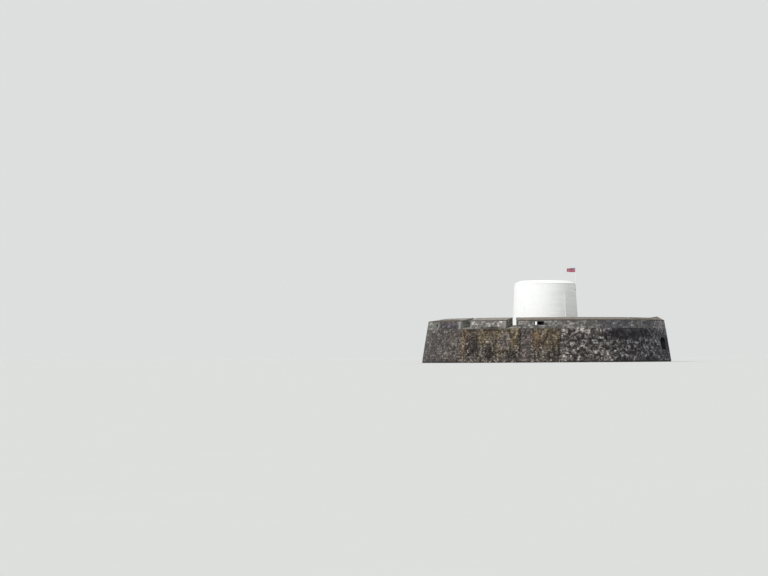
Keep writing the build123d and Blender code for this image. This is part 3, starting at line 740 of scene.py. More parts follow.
def top_or_lip(face):
    """Outside is up on the slope, outwards on the outer lip and inwards on the inner one."""
    middle = centre_of(face)
    if abs(face.normal.z) > 0.5:
        return face.normal.z > 0
    return face.normal.dot(Vector((middle.x, middle.y, 0))) * (middle.to_2d().length - 17.5) > 0


turn_faces(top_or_lip)
split_cheeks()
clear_away(lambda face: in_embrasure(centre_of(face)))
pick("EDGE", is_upright)
bpy.ops.mesh.edge_split(type="EDGE")
dress(capping, joint=0.006, reliefs=[0.014], arris=0.012, tone=lambda face: 0.5,
      together=True)

# %% [markdown]
# ## Cheeks of the gun openings
#
# All eight gun openings are alike, so the two cheeks of one are built at the front of the fort and
# copied round. Each starts as two flat panels, one along the splay and one along the throat. They
# are cut off along the slopes of the capping and the sill and along the outer face, which is three
# planes, and the joints between stones are thinned out before that, while the grid is whole.

# %% Cheek stones
CHEEK_MIDDLE, CHEEK_HEIGHT = 6.0, 1.7
cheek_run = wall_face(SILL_LIP) - THROAT_END
panels = []
for splay, turn in CHEEKS:
    faces = -turn * (90 - math.degrees(math.atan(splay)))
    middle = (turn * (THROAT_HALF + splay * cheek_run / 2), -THROAT_END - cheek_run / 2, CHEEK_MIDDLE)
    panels.append(lay_panel(9, 6, cheek_run * math.hypot(1, splay), CHEEK_HEIGHT, 90, faces, middle))
    panels.append(lay_panel(1, 6, THROAT_END - YARD_RADIUS, CHEEK_HEIGHT, 90, -turn * 90,
                            (turn * THROAT_HALF, -(THROAT_END + YARD_RADIUS) / 2, CHEEK_MIDDLE)))
cheeks = join_panels("cheek_stones", panels)
join_panel_stones(0.4, is_steep)
seat_fall = (SEAT_IN - SEAT_OUT) / (wall_face(SEAT_OUT) - YARD_RADIUS)
sill_fall = (SILL_LEVEL - SILL_LIP) / (wall_face(SILL_LIP) - YARD_RADIUS)
cut_off([((0, -YARD_RADIUS, SEAT_IN), (0, -seat_fall, 1)),
         ((0, -YARD_RADIUS, SILL_LEVEL), (0, sill_fall, -1)),
         ((0, -wall_face(0) + 0.03, 0), (0, -1, BATTER))])
cheeks = copy_round(cheeks, EMBRASURES)


def across(face):
    """Cheek faces look across their opening."""
    heading = min(EMBRASURES, key=lambda one: abs(apart(heading_of(centre_of(face)), one)))
    east, north = outward(heading)
    return reach(centre_of(face), heading)[1] * (face.normal.x * -north + face.normal.y * east) < 0


def at_outer_face(face):
    return wall_face(6) - centre_of(face).to_2d().length < 0.35


turn_faces(across)
dress(cheeks, joint=0.007, reliefs=[0.003, 0.008, 0.013], arris=0.014,
      tone=lambda face: QUOIN_TONE if at_outer_face(face) else chance(centre_of(face)))

# %% [markdown]
# ## Sills
#
# The sill of a gun opening is a few slabs that slope down and out. It is simplest to lay them as
# whole rings round the fort, cut those along every cheek, and keep only what lies between.

# %% Sill slabs
def sill(radius):
    return radius, SILL_LEVEL - sill_fall * (radius - YARD_RADIUS) - 0.002


sill_rings = [wall_face(SILL_LIP) - 0.003, 18.1, 17.15, YARD_RADIUS + 0.003]
sills = lay_courses("sill_slabs", [[sill(outer), sill(closer)]
                                   for outer, closer in zip(sill_rings, sill_rings[1:])], 0.7)
face_up()
split_cheeks()
clear_away(lambda face: not in_embrasure(centre_of(face)))
dress(sills, joint=0.006, reliefs=[0.006, 0.010], arris=0.014)

# %% [markdown]
# ## Ridge of the capping
#
# On the gateway side the capping rises to a ridge, which sinks to nothing at both ends. Its slabs
# are laid as level rings above the solid. A Shrinkwrap modifier then drops every corner straight
# down onto it, so the slabs take the slopes of the solid, whatever they are. Slabs that missed it,
# and those that landed on the plain capping, are cleared.

# %% Ridge slabs
RIDGE_RADIUS, RIDGE_MIDDLE, RIDGE_SPREAD, ABOVE = 17.6, 90, 31, 7.4
ridge = lay_courses("ridge_slabs", [
    [(wall_face(RIM_LEVEL) - 0.004, ABOVE), (18.15, ABOVE), (RIDGE_RADIUS, ABOVE)],
    [(RIDGE_RADIUS, ABOVE), (16.9, ABOVE), (INNER_FACE, ABOVE)]], 0.8)
face_up()
clear_away(lambda face: not near(RIDGE_MIDDLE, RIDGE_SPREAD)(face))
split_cheeks()
clear_away(lambda face: in_embrasure(centre_of(face)))
bpy.ops.object.mode_set(mode="OBJECT")
drop = ridge.modifiers.new("drop", "SHRINKWRAP")
drop.target = frame["nodes"]["parapet_capping"]
drop.wrap_method = "PROJECT"
drop.use_project_z = True
drop.use_negative_direction = True
drop.use_positive_direction = False
bpy.ops.object.modifier_apply(modifier=drop.name)
bpy.ops.object.mode_set(mode="EDIT")
clear_away(lambda face: max(v.co.z for v in face.verts) > ABOVE - 0.1 or all(
    v.co.z < crest(v.co.to_2d().length) + 0.015 for v in face.verts))
dress(ridge, joint=0.006, reliefs=[0.010, 0.014], arris=0.012)

# %% [markdown]
# ## Older castle wall
#
# Two lengths of the front were built on the stump of a much older castle. Its stones are small
# and rough, ochre and brown, and its face bulges. Sculpting the bulges would lose the joints, so
# the relief of each stone will follow a slow wave over the wall. The rings are laid and loosened
# like those of the battery, and only the two lengths are kept.

# %% Castle courses
CASTLE_TOP, CASTLE_TOP_RADIUS = 5.185, 19.27375


def castle_face(level):
    return FOOT_RADIUS - (FOOT_RADIUS - CASTLE_TOP_RADIUS) * level / CASTLE_TOP


castle = lay_courses("castle_stones", upright_courses(beds(0.03, CASTLE_TOP, 22, 0.3), castle_face), 0.22)
loosen(0.03, (FOOT_RADIUS - 0.004, 0), (castle_face(7) - 0.004, 7))
clear_away(lambda face: not any(low - 1 < heading_of(vertex.co) < high + 1
                                for vertex in face.verts for low, high in CASTLE_SPANS))
for low, high in CASTLE_SPANS:
    for end in (low, high):
        cut_side(end, 0, near(end, 2))
clear_away(lambda face: not in_castle(centre_of(face)))
face_round()
join_some(0.2)
print("stones in the castle wall:", len(open_mesh().faces))

# %% [markdown]
# ## Bulges and a hollow
#
# A noise that changes slowly from place to place says how far each castle stone stands out, with
# chance on top. Near the foot it dies away, so that the wall stays on its line. One hollow has lost
# its facing, and its stones lie deepest.

# %% Castle stones
HOLLOW, HOLLOW_LEVEL = -26.5, 1.45


def bulge(face):
    """Group from 0 to 5: how far a castle stone stands out."""
    middle = centre_of(face)
    heading = heading_of(middle)
    if ((heading - HOLLOW) / 1.5) ** 2 + ((middle.z - HOLLOW_LEVEL) / 0.55) ** 2 < 1:
        return 0
    wave = noise.noise(Vector((heading * 0.22, middle.z * 0.8, 3.1)))
    amount = (1.2 + 3.4 * wave + 2.8 * chance(middle)) * min(1, middle.z / 1.2)
    return int(min(5, max(0, amount)))


dress(castle, joint=0.011, reliefs=[0.006, 0.02, 0.038, 0.058, 0.08, 0.1], arris=0.024,
      group=bulge, rough=0.02)

# %% [markdown]
# ## Tower
#
# The drum is coursed granite too, squared and laid in even courses, and painted white all over.
# Under the paint the joints show only as fine level lines. A long stone that is joined from
# several faces keeps the points along its beds here, so that it still follows the tight curve.

# %% Tower courses
TOWER_X, TOWER_FOOT, TOWER_BATTER, TOWER_RIM, DOOR_HEAD = -0.14, 5.29, 0.058, 12.52, 6.85


def tower_face(level):
    return TOWER_FOOT - TOWER_BATTER * (level - YARD_LEVEL)


tower_levels = beds(YARD_LEVEL, DOOR_HEAD, 7) + beds(DOOR_HEAD, TOWER_RIM, 17)[1:]
tower = lay_courses("tower_stones", upright_courses(tower_levels, tower_face, 0.003), 0.3, TOWER_X)
face_round(TOWER_X)
join_some(0.5, TOWER_X, keep_points=True)
print("radius of the drum at its rim:", round(tower_face(TOWER_RIM), 3))

# %% [markdown]
# ## Doorway and slits of the tower
#
# A doorway and three slits pass through the drum. Each is marked off by two upright cuts, and a
# slit by two level ones as well, and what lies between them is cleared. The cuts reach only the
# stones near by, so that the courses beyond stay whole.

# %% Openings of the tower
DOOR_HEADING, DOOR_HALF = 125, 0.525
LOOPS, LOOP_HALF, LOOP_FOOT, LOOP_HEAD = [-38.4, 81.6, 201.6], 0.085, 8.24, 8.76


def tower_reach(face, heading):
    return reach(centre_of(face), heading, TOWER_X)


def by_loop(heading):
    """Test for the stones round a slit of the upper room."""
    def test(face):
        out, side = tower_reach(face, heading)
        return out > 0 and abs(side) < 0.9 and 8.0 < centre_of(face).z < 9.0
    return test


def beside_door(face):
    out, side = tower_reach(face, DOOR_HEADING)
    return out > 0 and abs(side) < 1.6 and centre_of(face).z < DOOR_HEAD


for side in (DOOR_HALF, -DOOR_HALF):
    cut_side(DOOR_HEADING, side, beside_door, centre=TOWER_X)
clear_away(lambda face: beside_door(face) and abs(tower_reach(face, DOOR_HEADING)[1]) < DOOR_HALF)
for heading in LOOPS:
    for side in (LOOP_HALF, -LOOP_HALF):
        cut_side(heading, side, by_loop(heading), centre=TOWER_X)
    for level in (LOOP_FOOT, LOOP_HEAD):
        cut_plane((0, 0, level), (0, 0, 1), by_loop(heading))
    clear_away(lambda face: by_loop(heading)(face) and abs(tower_reach(face, heading)[1]) < LOOP_HALF
               and LOOP_FOOT < centre_of(face).z < LOOP_HEAD)
print("stones in the drum:", len(open_mesh().faces))

# %% [markdown]
# ## Dressed stones round the doorway
#
# The doorway of the tower has plain jambs and a lintel, which stand a little proud. They are cut
# out of the same rings: two planes mark them off, the joints inside are dissolved, and two more
# planes cut the lintel in three, so that no stone has to bend.

# %% Door jambs and lintel
DOOR_JAMB = 0.3


def round_door(face):
    """The stones beside the doorway, and those over it."""
    out, side = tower_reach(face, DOOR_HEADING)
    level = centre_of(face).z
    return out > 0 and abs(side) < DOOR_HALF + DOOR_JAMB and (
        level < DOOR_HEAD or DOOR_HEAD < level < DOOR_HEAD + DOOR_JAMB)


for side in (DOOR_HALF + DOOR_JAMB, -DOOR_HALF - DOOR_JAMB):
    cut_side(DOOR_HEADING, side, near(DOOR_HEADING, 14, TOWER_X), centre=TOWER_X)
dissolve(lambda edge: is_upright(edge, TOWER_X) and all(round_door(face) for face in edge.link_faces),
         keep_points=True)
for side in (0.2, -0.2):
    cut_side(DOOR_HEADING, side, lambda face: round_door(face) and centre_of(face).z > DOOR_HEAD,
             centre=TOWER_X)
dress(tower, joint=0.005, reliefs=[0.004, 0.007, 0.011, 0.03], arris=0.010,
      group=lambda face: 3 if round_door(face) else int(chance(centre_of(face), 2) * 3))

# %% [markdown]
# ## Paving of the courtyard
#
# The courtyard is paved in rings of worn slabs round the tower. A grid would be quicker, but it
# would end in slivers along both round walls. Slabs under the tower are left out, and the rings
# are cut along the sides and the top of the ramp.

# %% Paving slabs
GATE_FLOOR, RAMP_SLOPE = 1.87, 0.25
RAMP_HALF, TOWER_CLEAR = GATE_HALF + 0.4, 5.2
RAMP_TOP = wall_face(GATE_FLOOR) - (YARD_LEVEL - GATE_FLOOR) / RAMP_SLOPE
rings = [TOWER_CLEAR + (YARD_RADIUS - TOWER_CLEAR) * step / 14 for step in range(15)]
paving = lay_courses("paving_slabs", flat_courses(rings, YARD_LEVEL), 0.8)
face_up()
join_some(0.25, keep_points=True)


def by_ramp(face):
    out, side = reach(centre_of(face), GATE_HEADING)
    return out > RAMP_TOP - 1.5 and abs(side) < 3


for side in (RAMP_HALF, -RAMP_HALF):
    cut_side(GATE_HEADING, side, by_ramp)
cut_plane(place(GATE_HEADING, RAMP_TOP, 0, 0), (*outward(GATE_HEADING), 0), by_ramp)
clear_away(lambda face: reach(centre_of(face), GATE_HEADING)[0] > RAMP_TOP
           and abs(reach(centre_of(face), GATE_HEADING)[1]) < RAMP_HALF)
clear_away(lambda face: all((vertex.co - Vector((TOWER_X, 0, vertex.co.z))).length < TOWER_CLEAR + 0.1
                            for vertex in face.verts))
dress(paving, joint=0.007, reliefs=[0.006, 0.011], arris=0.014)

# %% [markdown]
# ## Gateway surround
#
# A ring of wedge stones and two jambs of squared blocks frame the gateway. They are laid out flat
# in front of heading 0. The wedges are the edges of an upright circle, extruded and scaled out,
# of which only the crown is kept. The top of each jamb is drawn up to meet them. The whole is then
# turned to the gateway and pressed onto its battered solid.

# %% Gateway stones
GATE_CROWN, LAID_OUT, ARCH_RADIUS, ARCH_STONES, ARCH_SPREAD = 3.862, 19.45, 2.5, 40, 31.6
HAUNCH, HAUNCH_LEAN = 0.3, 0.19
JAMB_MIDDLE = GATE_HALF + GATE_SURROUND / 2
arch_middle = (0, -LAID_OUT, GATE_CROWN - ARCH_RADIUS)
surround = join_panels("gateway_stones", [
    lay_panel(1, 5, GATE_SURROUND, GATE_SPRING - GATE_FLOOR, 90, 0,
              (side, -LAID_OUT, (GATE_FLOOR + GATE_SPRING) / 2)) for side in (-JAMB_MIDDLE, JAMB_MIDDLE)])
bpy.ops.mesh.select_all(action="DESELECT")
bpy.ops.mesh.primitive_circle_add(vertices=ARCH_STONES, radius=ARCH_RADIUS, fill_type="NOTHING",
                                  location=arch_middle, rotation=(math.radians(90), math.radians(4.5), 0))
bpy.ops.mesh.extrude_edges_move()
share = 1 + GATE_SURROUND / ARCH_RADIUS
bpy.ops.transform.resize(value=(share, 1, share), center_override=arch_middle)


def in_jamb(point):
    return abs(abs(point.x) - JAMB_MIDDLE) < 0.01


clear_away(lambda face: not in_jamb(centre_of(face)) and abs(math.atan2(
    centre_of(face).x, centre_of(face).z - arch_middle[2])) > math.radians(ARCH_SPREAD))
pick("EDGE", lambda edge: abs(middle_of(edge).z - GATE_SPRING) < 0.01 and in_jamb(middle_of(edge)))
bpy.ops.mesh.extrude_edges_move(TRANSFORM_OT_translate={"value": (0, 0, HAUNCH)})
for side in (-1, 1):
    pick("VERT", lambda vertex: abs(vertex.co.z - GATE_SPRING - HAUNCH) < 0.01
         and abs(vertex.co.x - side * GATE_HALF) < 0.01)
    bpy.ops.transform.translate(value=(side * HAUNCH_LEAN, 0, 0))
surround = copy_round(surround, [GATE_HEADING])
press_on(frame["nodes"]["gateway_surround"])
turn_faces(lambda face: face.normal.dot(Vector((*outward(GATE_HEADING), 0))) > 0)
dress(surround, joint=0.007, reliefs=[0.03, 0.04], arris=0.02, rough=0.008)

# %% [markdown]
# ## Walls of the passage and the ramp
#
# Behind the surround a passage climbs under the parapet, and goes on as an open ramp between two
# walls. Both have the same slope. So each side is one long panel, cut off along the ramp, at the
# courtyard's level and at the outer face. Under the parapet it is also cut at the spring of the
# vault.

# %% Side walls of the passage
PASSAGE_RISE, SIDE_HEIGHT, SIDE_LEVEL = 1.56, 3.3, 3.2


def ramp_level(out):
    return GATE_FLOOR + RAMP_SLOPE * (wall_face(GATE_FLOOR) - out)


def roofed(face):
    return centre_of(face).y < -YARD_RADIUS


ramp_run = wall_face(GATE_FLOOR) - RAMP_TOP
passage = join_panels("passage_stones", [
    lay_panel(34, 11, ramp_run, SIDE_HEIGHT, 90, -90 * side,
              (side * (GATE_HALF - 0.004), -RAMP_TOP - ramp_run / 2, SIDE_LEVEL)) for side in (-1, 1)])
join_panel_stones(0.35, is_steep)
cut_off([((0, -wall_face(GATE_FLOOR), GATE_FLOOR), (0, RAMP_SLOPE, -1)),
         ((0, 0, YARD_LEVEL - 0.01), (0, 0, 1)), ((0, -wall_face(0) + 0.06, 0), (0, -1, BATTER))])
cut_plane((0, -YARD_RADIUS, 0), (0, 1, 0), lambda face: True)
cut_plane((0, -wall_face(GATE_FLOOR), GATE_FLOOR + PASSAGE_RISE), (0, RAMP_SLOPE, -1), roofed)
clear_away(lambda face: roofed(face) and centre_of(face).z > ramp_level(-centre_of(face).y) + PASSAGE_RISE)
print("stones in the passage walls:", len(open_mesh().faces))

# %% [markdown]
# ## Vault of the passage
#
# The vault is a flat arch that climbs with the ramp. The lower part of an upright circle is
# deleted, and the arc that is left is extruded nine times along the slope. That gives rows of
# stones that already lie along the vault, with no need to bend a panel.

# %% Passage vault
VAULT_START, VAULT_RADIUS, VAULT_RISE, VAULT_STEP = 19.3, 2.589, 0.346, 0.344
vault_foot = ramp_level(VAULT_START) + PASSAGE_RISE
bpy.ops.mesh.select_all(action="DESELECT")
bpy.ops.mesh.primitive_circle_add(vertices=36, radius=VAULT_RADIUS, fill_type="NOTHING",
                                  location=(0, -VAULT_START, vault_foot + VAULT_RISE - VAULT_RADIUS),
                                  rotation=(math.radians(90), 0, 0))
pick("VERT", lambda vertex: not vertex.link_faces and vertex.co.z < vault_foot - 0.03)
bpy.ops.mesh.delete(type="VERT")
pick("EDGE", lambda edge: not edge.link_faces)
for step in range(9):
    bpy.ops.mesh.extrude_edges_move(
        TRANSFORM_OT_translate={"value": (0, VAULT_STEP, VAULT_STEP * RAMP_SLOPE)})
cut_plane((0, -wall_face(0) + 0.03, 0), (0, -1, BATTER), lambda face: centre_of(face).y < -18.8)
clear_away(lambda face: -centre_of(face).y > wall_face(centre_of(face).z) - 0.03)


def into_passage(face):
    return face.normal.z < 0 if abs(face.normal.z) > 0.3 else centre_of(face).x * face.normal.x < 0


turn_faces(into_passage)
passage = copy_round(passage, [GATE_HEADING])
dress(passage, joint=0.008, reliefs=[0.004, 0.010, 0.016], arris=0.016, rough=0.006)

# %% [markdown]
# ## Ramp paving
#
# The ramp is paved with slabs across its whole width, and a row of kerb stones runs along the top
# of each side wall. All three are panels. They lie at heading 0 first, because there the slope is
# one tilt, and are turned to the gateway together.

# %% Ramp slabs and kerbs
KERB_WIDTH, KERB_RUN = 0.39, 8.4
mid_out = RAMP_TOP + ramp_run / 2 - 0.04
ramp = lay_panel(6, 25, 2 * GATE_HALF - 0.02, (ramp_run - 0.08) * math.hypot(1, RAMP_SLOPE),
                 math.degrees(math.atan(RAMP_SLOPE)), 0, (0, -mid_out, ramp_level(mid_out) - 0.002))
kerbs = [lay_panel(1, 9, KERB_WIDTH, KERB_RUN, 0, 0, (side, -RAMP_TOP - 4.25, YARD_LEVEL - 0.002))
         for side in (-GATE_HALF - 0.2, GATE_HALF + 0.2)]
ramp = copy_round(join_panels("ramp_slabs", [ramp] + kerbs), [GATE_HEADING])
along = Vector((*outward(GATE_HEADING), 0))
join_panel_stones(0.45, lambda edge: abs((edge.verts[0].co - edge.verts[1].co).dot(along)) > 0.1)
face_up()
dress(ramp, joint=0.007, reliefs=[0.008, 0.016], arris=0.02, rough=0.006)

# %% [markdown]
# ## Top of the tower
#
# The parapet of the tower slopes outwards like that of the battery, in long slabs under the same
# white coat, and its inner face is lined with small stones.

# %% Tower parapet
TOWER_CREST, TOWER_PLATFORM, SLOPE_WIDTH, TOP_WIDTH = 12.95, 11.57, 0.97, 1.49
tower_rim = tower_face(TOWER_RIM)
tower_crest, tower_inner = tower_rim - SLOPE_WIDTH, tower_rim - TOP_WIDTH
top = lay_courses("tower_parapet_slabs", [
    [(tower_rim - 0.003, TOWER_RIM - 0.002), (tower_crest, TOWER_CREST - 0.002)],
    [(tower_crest, TOWER_CREST - 0.002), (tower_inner + 0.003, TOWER_CREST - 0.002)]], 0.7, TOWER_X)
face_up()
dress(top, joint=0.005, reliefs=[0.007], arris=0.010)
lining = lay_courses("tower_parapet_stones", upright_courses(
    beds(TOWER_PLATFORM, TOWER_CREST, 5, 0.1), lambda level: tower_inner + 0.003, 0), 0.4, TOWER_X)
face_round(TOWER_X, way=-1)
dress(lining, joint=0.005, reliefs=[0.004, 0.007, 0.010], arris=0.010)

# %% [markdown]
# ## Gun platform
#
# Behind its parapet the tower has a platform for one gun, paved in rings of slabs round a single
# stone in the middle. A ring can't close at its centre, so that stone is a filled circle, added to
# the same piece.

# %% Platform slabs
rings = [0.4, 1.0, 1.6, 2.2, 2.8, tower_inner - 0.01]
platform = lay_courses("platform_slabs", flat_courses(rings, TOWER_PLATFORM), 0.6, TOWER_X)
bpy.ops.mesh.select_all(action="DESELECT")
bpy.ops.mesh.primitive_circle_add(vertices=24, radius=rings[0], fill_type="NGON",
                                  location=(TOWER_X, 0, TOWER_PLATFORM - 0.002))
face_up()
dress(platform, joint=0.006, reliefs=[0.006, 0.010], arris=0.012)

# %% [markdown]
# ## Door planks
#
# The door leaf stands open against the side of its doorway. It is five upright planks with a
# bevel between them. The planks are one row of a panel, laid on the leaf's face and dressed like
# stones, with a joint so fine that it reads as a groove.

# %% Door planks
LEAF_MIDDLE, LEAF_SIDE, LEAF_LENGTH, LEAF_HEIGHT, LEAF_LEVEL = 3.963, 0.461, 0.87, 1.99, 5.755
door_face = DOOR_HEADING - 90


def on_leaf(along, proud, level):
    """Point on the face of the door leaf, so far along it and so far proud of it."""
    return place(DOOR_HEADING, LEAF_MIDDLE + along, LEAF_SIDE - proud, level, TOWER_X)


planks = join_panels("door_planks", [
    lay_panel(5, 1, LEAF_LENGTH, LEAF_HEIGHT, 90, door_face, on_leaf(0, 0, LEAF_LEVEL))])
dress(planks, joint=0.003, reliefs=[0.014], arris=0.008)

# %% [markdown]
# ## Door irons
#
# Two straps with square studs and a ring make the planks a door. Straps and studs are small panels
# raised like stones. The ring is a torus, turned to lie on the door, and joined to them.

# %% Door irons
STRAP_LENGTH, STRAP_WIDTH, STUD, STUD_STEP = 0.82, 0.07, 0.032, 0.17
plates = []
for level in (5.2, 6.3):
    plates.append(lay_panel(1, 1, STRAP_LENGTH, STRAP_WIDTH, 90, door_face, on_leaf(0, 0.014, level)))
    plates += [lay_panel(1, 1, STUD, STUD, 90, door_face, on_leaf(step * STUD_STEP, 0.02, level))
               for step in range(-2, 3)]
irons = join_panels("door_irons", plates)
grade(1)
raise_stones([0.010], 0.003)
leave_edit()
bpy.ops.mesh.primitive_torus_add(major_radius=0.055, minor_radius=0.008, major_segments=24, minor_segments=8,
                                 location=on_leaf(-0.34, 0.024, 5.75),
                                 rotation=(math.radians(90), 0, math.radians(door_face)))
ring = bpy.context.object
bpy.ops.object.transform_apply(location=True, rotation=True, scale=True)
irons = join_panels("door_irons", [irons, ring])
hand_over(irons)

# %% [markdown]
# ## Boards in the loops
#
# The slits of the upper room are closed just inside by white boards, which is why they hardly show
# from outside. The solids keep the slits open, and the boards sit in them, two to a slit.

# %% Loop boards
BOARD_DEPTH, BOARD_FIT = 0.035, 0.002
loop_middle = (LOOP_FOOT + LOOP_HEAD) / 2
boards = join_panels("loop_boards", [
    lay_panel(2, 1, 2 * LOOP_HALF - BOARD_FIT, LOOP_HEAD - LOOP_FOOT - BOARD_FIT, 90, heading,
              place(heading, tower_face(loop_middle) - BOARD_DEPTH, 0, loop_middle, TOWER_X))
    for heading in LOOPS])
dress(boards, joint=0.002, reliefs=[0.008], arris=0.004)

# %% [markdown]
# ## Flag
#
# The flag is one sheet of bunting, held along its hoist by the pole. Light wind lifts it, so waves
# run out from the pole and grow towards the fly, and the free corner sags. A cloth simulation could
# make them, but it would have to settle first. A rule for the waves gives the same folds each
# time. The cloth is a fine grid whose points are moved by that rule, and its length along the waves
# stays the length that it was cut to.

# %% Flag cloth
FLAG_HOIST, FLAG_FLY, SAG = 0.69, 1.37, 0.17
flag_low, flag_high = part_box("flag")
flag_north, flag_level = [(flag_low[axis] + flag_high[axis]) / 2 for axis in (1, 2)]
cloth = lay_panel(56, 28, FLAG_FLY, FLAG_HOIST, 90, 0, (0, 0, 0))
cloth.name = "flag_cloth"
for vertex in cloth.data.vertices:
    run = 0.5 - vertex.co.x / FLAG_FLY
    up = vertex.co.z / FLAG_HOIST
    wave = 0.055 * min(1, run * 2.2) * math.sin(math.tau * (1.25 * run + 0.10 * up))
    wave += 0.05 * run * math.sin(math.tau * (1.5 * up + 0.3 * run))
    ripple = 0.012 * run * math.sin(math.tau * 1.4 * run)
    vertex.co = Vector((flag_high[0] - run * FLAG_FLY * (0.955 + 0.02 * run),
                        flag_north + wave + 0.02 * run,
                        flag_level + up * FLAG_HOIST * (1 - SAG * run) - 0.02 * run * run + ripple))
leave_edit()
cloth.select_set(True)
bpy.context.view_layer.objects.active = cloth
bpy.ops.object.shade_smooth()
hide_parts("flag")
hand_over(cloth)

# %% [markdown]
# ## Shader maths in plain Python
#
# A finish is a tree of nodes, but it reads better as arithmetic. The first class wraps one output
# socket. Adding or multiplying wrapped sockets adds the Math nodes, so a mask can be written as an
# expression. The second class adds any other node to the tree of a material or of the world: its
# kind and settings first, then values or wires for its sockets.

# %% Wires and nodes
class Wire:
    """One output of a node, with arithmetic on it."""

    def __init__(self, nodes, socket):
        self.nodes = nodes
        self.socket = socket

    def math(self, operation, *values):
        return self.nodes.node("ShaderNodeMath", {"operation": operation},
                               dict(enumerate((self, *values))))

    def __add__(self, other):
        return self.math("ADD", other)

    def __sub__(self, other):
        return self.math("SUBTRACT", other)

    def __rsub__(self, other):
        return (self * -1).math("ADD", other)

    def __mul__(self, other):
        return self.math("MULTIPLY", other)

    def __truediv__(self, other):
        return self.math("DIVIDE", other)

    __radd__ = __add__
    __rmul__ = __mul__

    def both(self, other):
        return self.math("MINIMUM", other)

    def either(self, other):
        return self.math("MAXIMUM", other)

    def ramp(self, low, high, out_low=0.0, out_high=1.0):
        """Smooth step from one value to another as this goes from low to high."""
        return self.nodes.node("ShaderNodeMapRange", {"interpolation_type": "SMOOTHSTEP"},
                               {"Value": self, "From Min": low, "From Max": high,
                                "To Min": out_low, "To Max": out_high})


class Nodes:
    """The node tree of a material or of the world, started empty."""

    def __init__(self, owner):
        owner.use_nodes = True
        self.owner = owner
        self.tree = owner.node_tree
        self.tree.nodes.clear()

    def node(self, kind, settings, inputs, output=0):
        """Add a node: its settings first, then values or wires for its sockets."""
        made = self.tree.nodes.new(kind)
        for name, value in settings.items():
            if name == "stops":
                self.set_stops(made.color_ramp, value)
            else:
                setattr(made, name, value)
        for name, value in inputs.items():
            socket = made.inputs[name]
            if isinstance(value, Wire):
                self.tree.links.new(value.socket, socket)
            elif isinstance(value, tuple) and len(value) == 3 and socket.type == "RGBA":
                socket.default_value = (*value, 1)
            else:
                socket.default_value = value
        return made if output is None else Wire(self, made.outputs[output])

    def set_stops(self, ramp, stops):
        while len(ramp.elements) < len(stops):
            ramp.elements.new(0.5)
        for element, (position, colour) in zip(ramp.elements, stops):
            element.position = position
            element.color = (*colour, 1)


print("a wire knows", [name for name in vars(Wire) if not name.startswith("_")])

# %% [markdown]
# ## Light
#
# Hazy daylight comes from the left, in front of the fort. One sun with a wide angle gives the soft
# edge between the bright and the grey side of the white drum, and an even sky fills in the rest.
# The sky that the camera sees has its own pale grey, so it can be set without changing the light
# on the stones. Glossy and clear surfaces see that grey too.

# %% Sun
SUN_HEADING, SUN_HEIGHT = -44, 36
sun_data = bpy.data.lights.new("hazy_sun", "SUN")
sun_data.energy = 2.05
sun_data.angle = math.radians(12)
sun = bpy.data.objects.new("hazy_sun", sun_data)
bpy.context.collection.objects.link(sun)
to_sun = Vector((*outward(SUN_HEADING), math.tan(math.radians(SUN_HEIGHT))))
sun.rotation_euler = to_sun.to_track_quat("Z", "Y").to_euler()
print("sun from heading", SUN_HEADING, "at", SUN_HEIGHT, "degrees")

# %% Sky
sky = Nodes(bpy.data.worlds.new("haze"))
bpy.context.scene.world = sky.owner
rays = sky.node("ShaderNodeLightPath", {}, {}, None)
seen, glossy, clear = [Wire(sky, rays.outputs[name]) for name in
                       ("Is Camera Ray", "Is Glossy Ray", "Is Transmission Ray")]
fill = sky.node("ShaderNodeBackground", {}, {"Color": (0.98, 1.0, 1.0), "Strength": 0.81})
backdrop = sky.node("ShaderNodeBackground", {}, {"Color": (0.725, 0.738, 0.738)})
pale = seen.either(glossy.either(clear))
choice = sky.node("ShaderNodeMixShader", {}, {0: pale, 1: fill, 2: backdrop})
sky.node("ShaderNodeOutputWorld", {}, {"Surface": choice}, None)
print("sky:", len(sky.tree.nodes), "nodes")

# %% [markdown]
# ## A paint
#
# Every finish on the fort starts from the same few things: the place of a point, the tone of its
# stone, noise at some scale, and a colour ramp. They are methods of one class. A pattern reads
# Object coordinates, which run through all the stones alike, so a stain crosses joints as it does
# on the real wall.

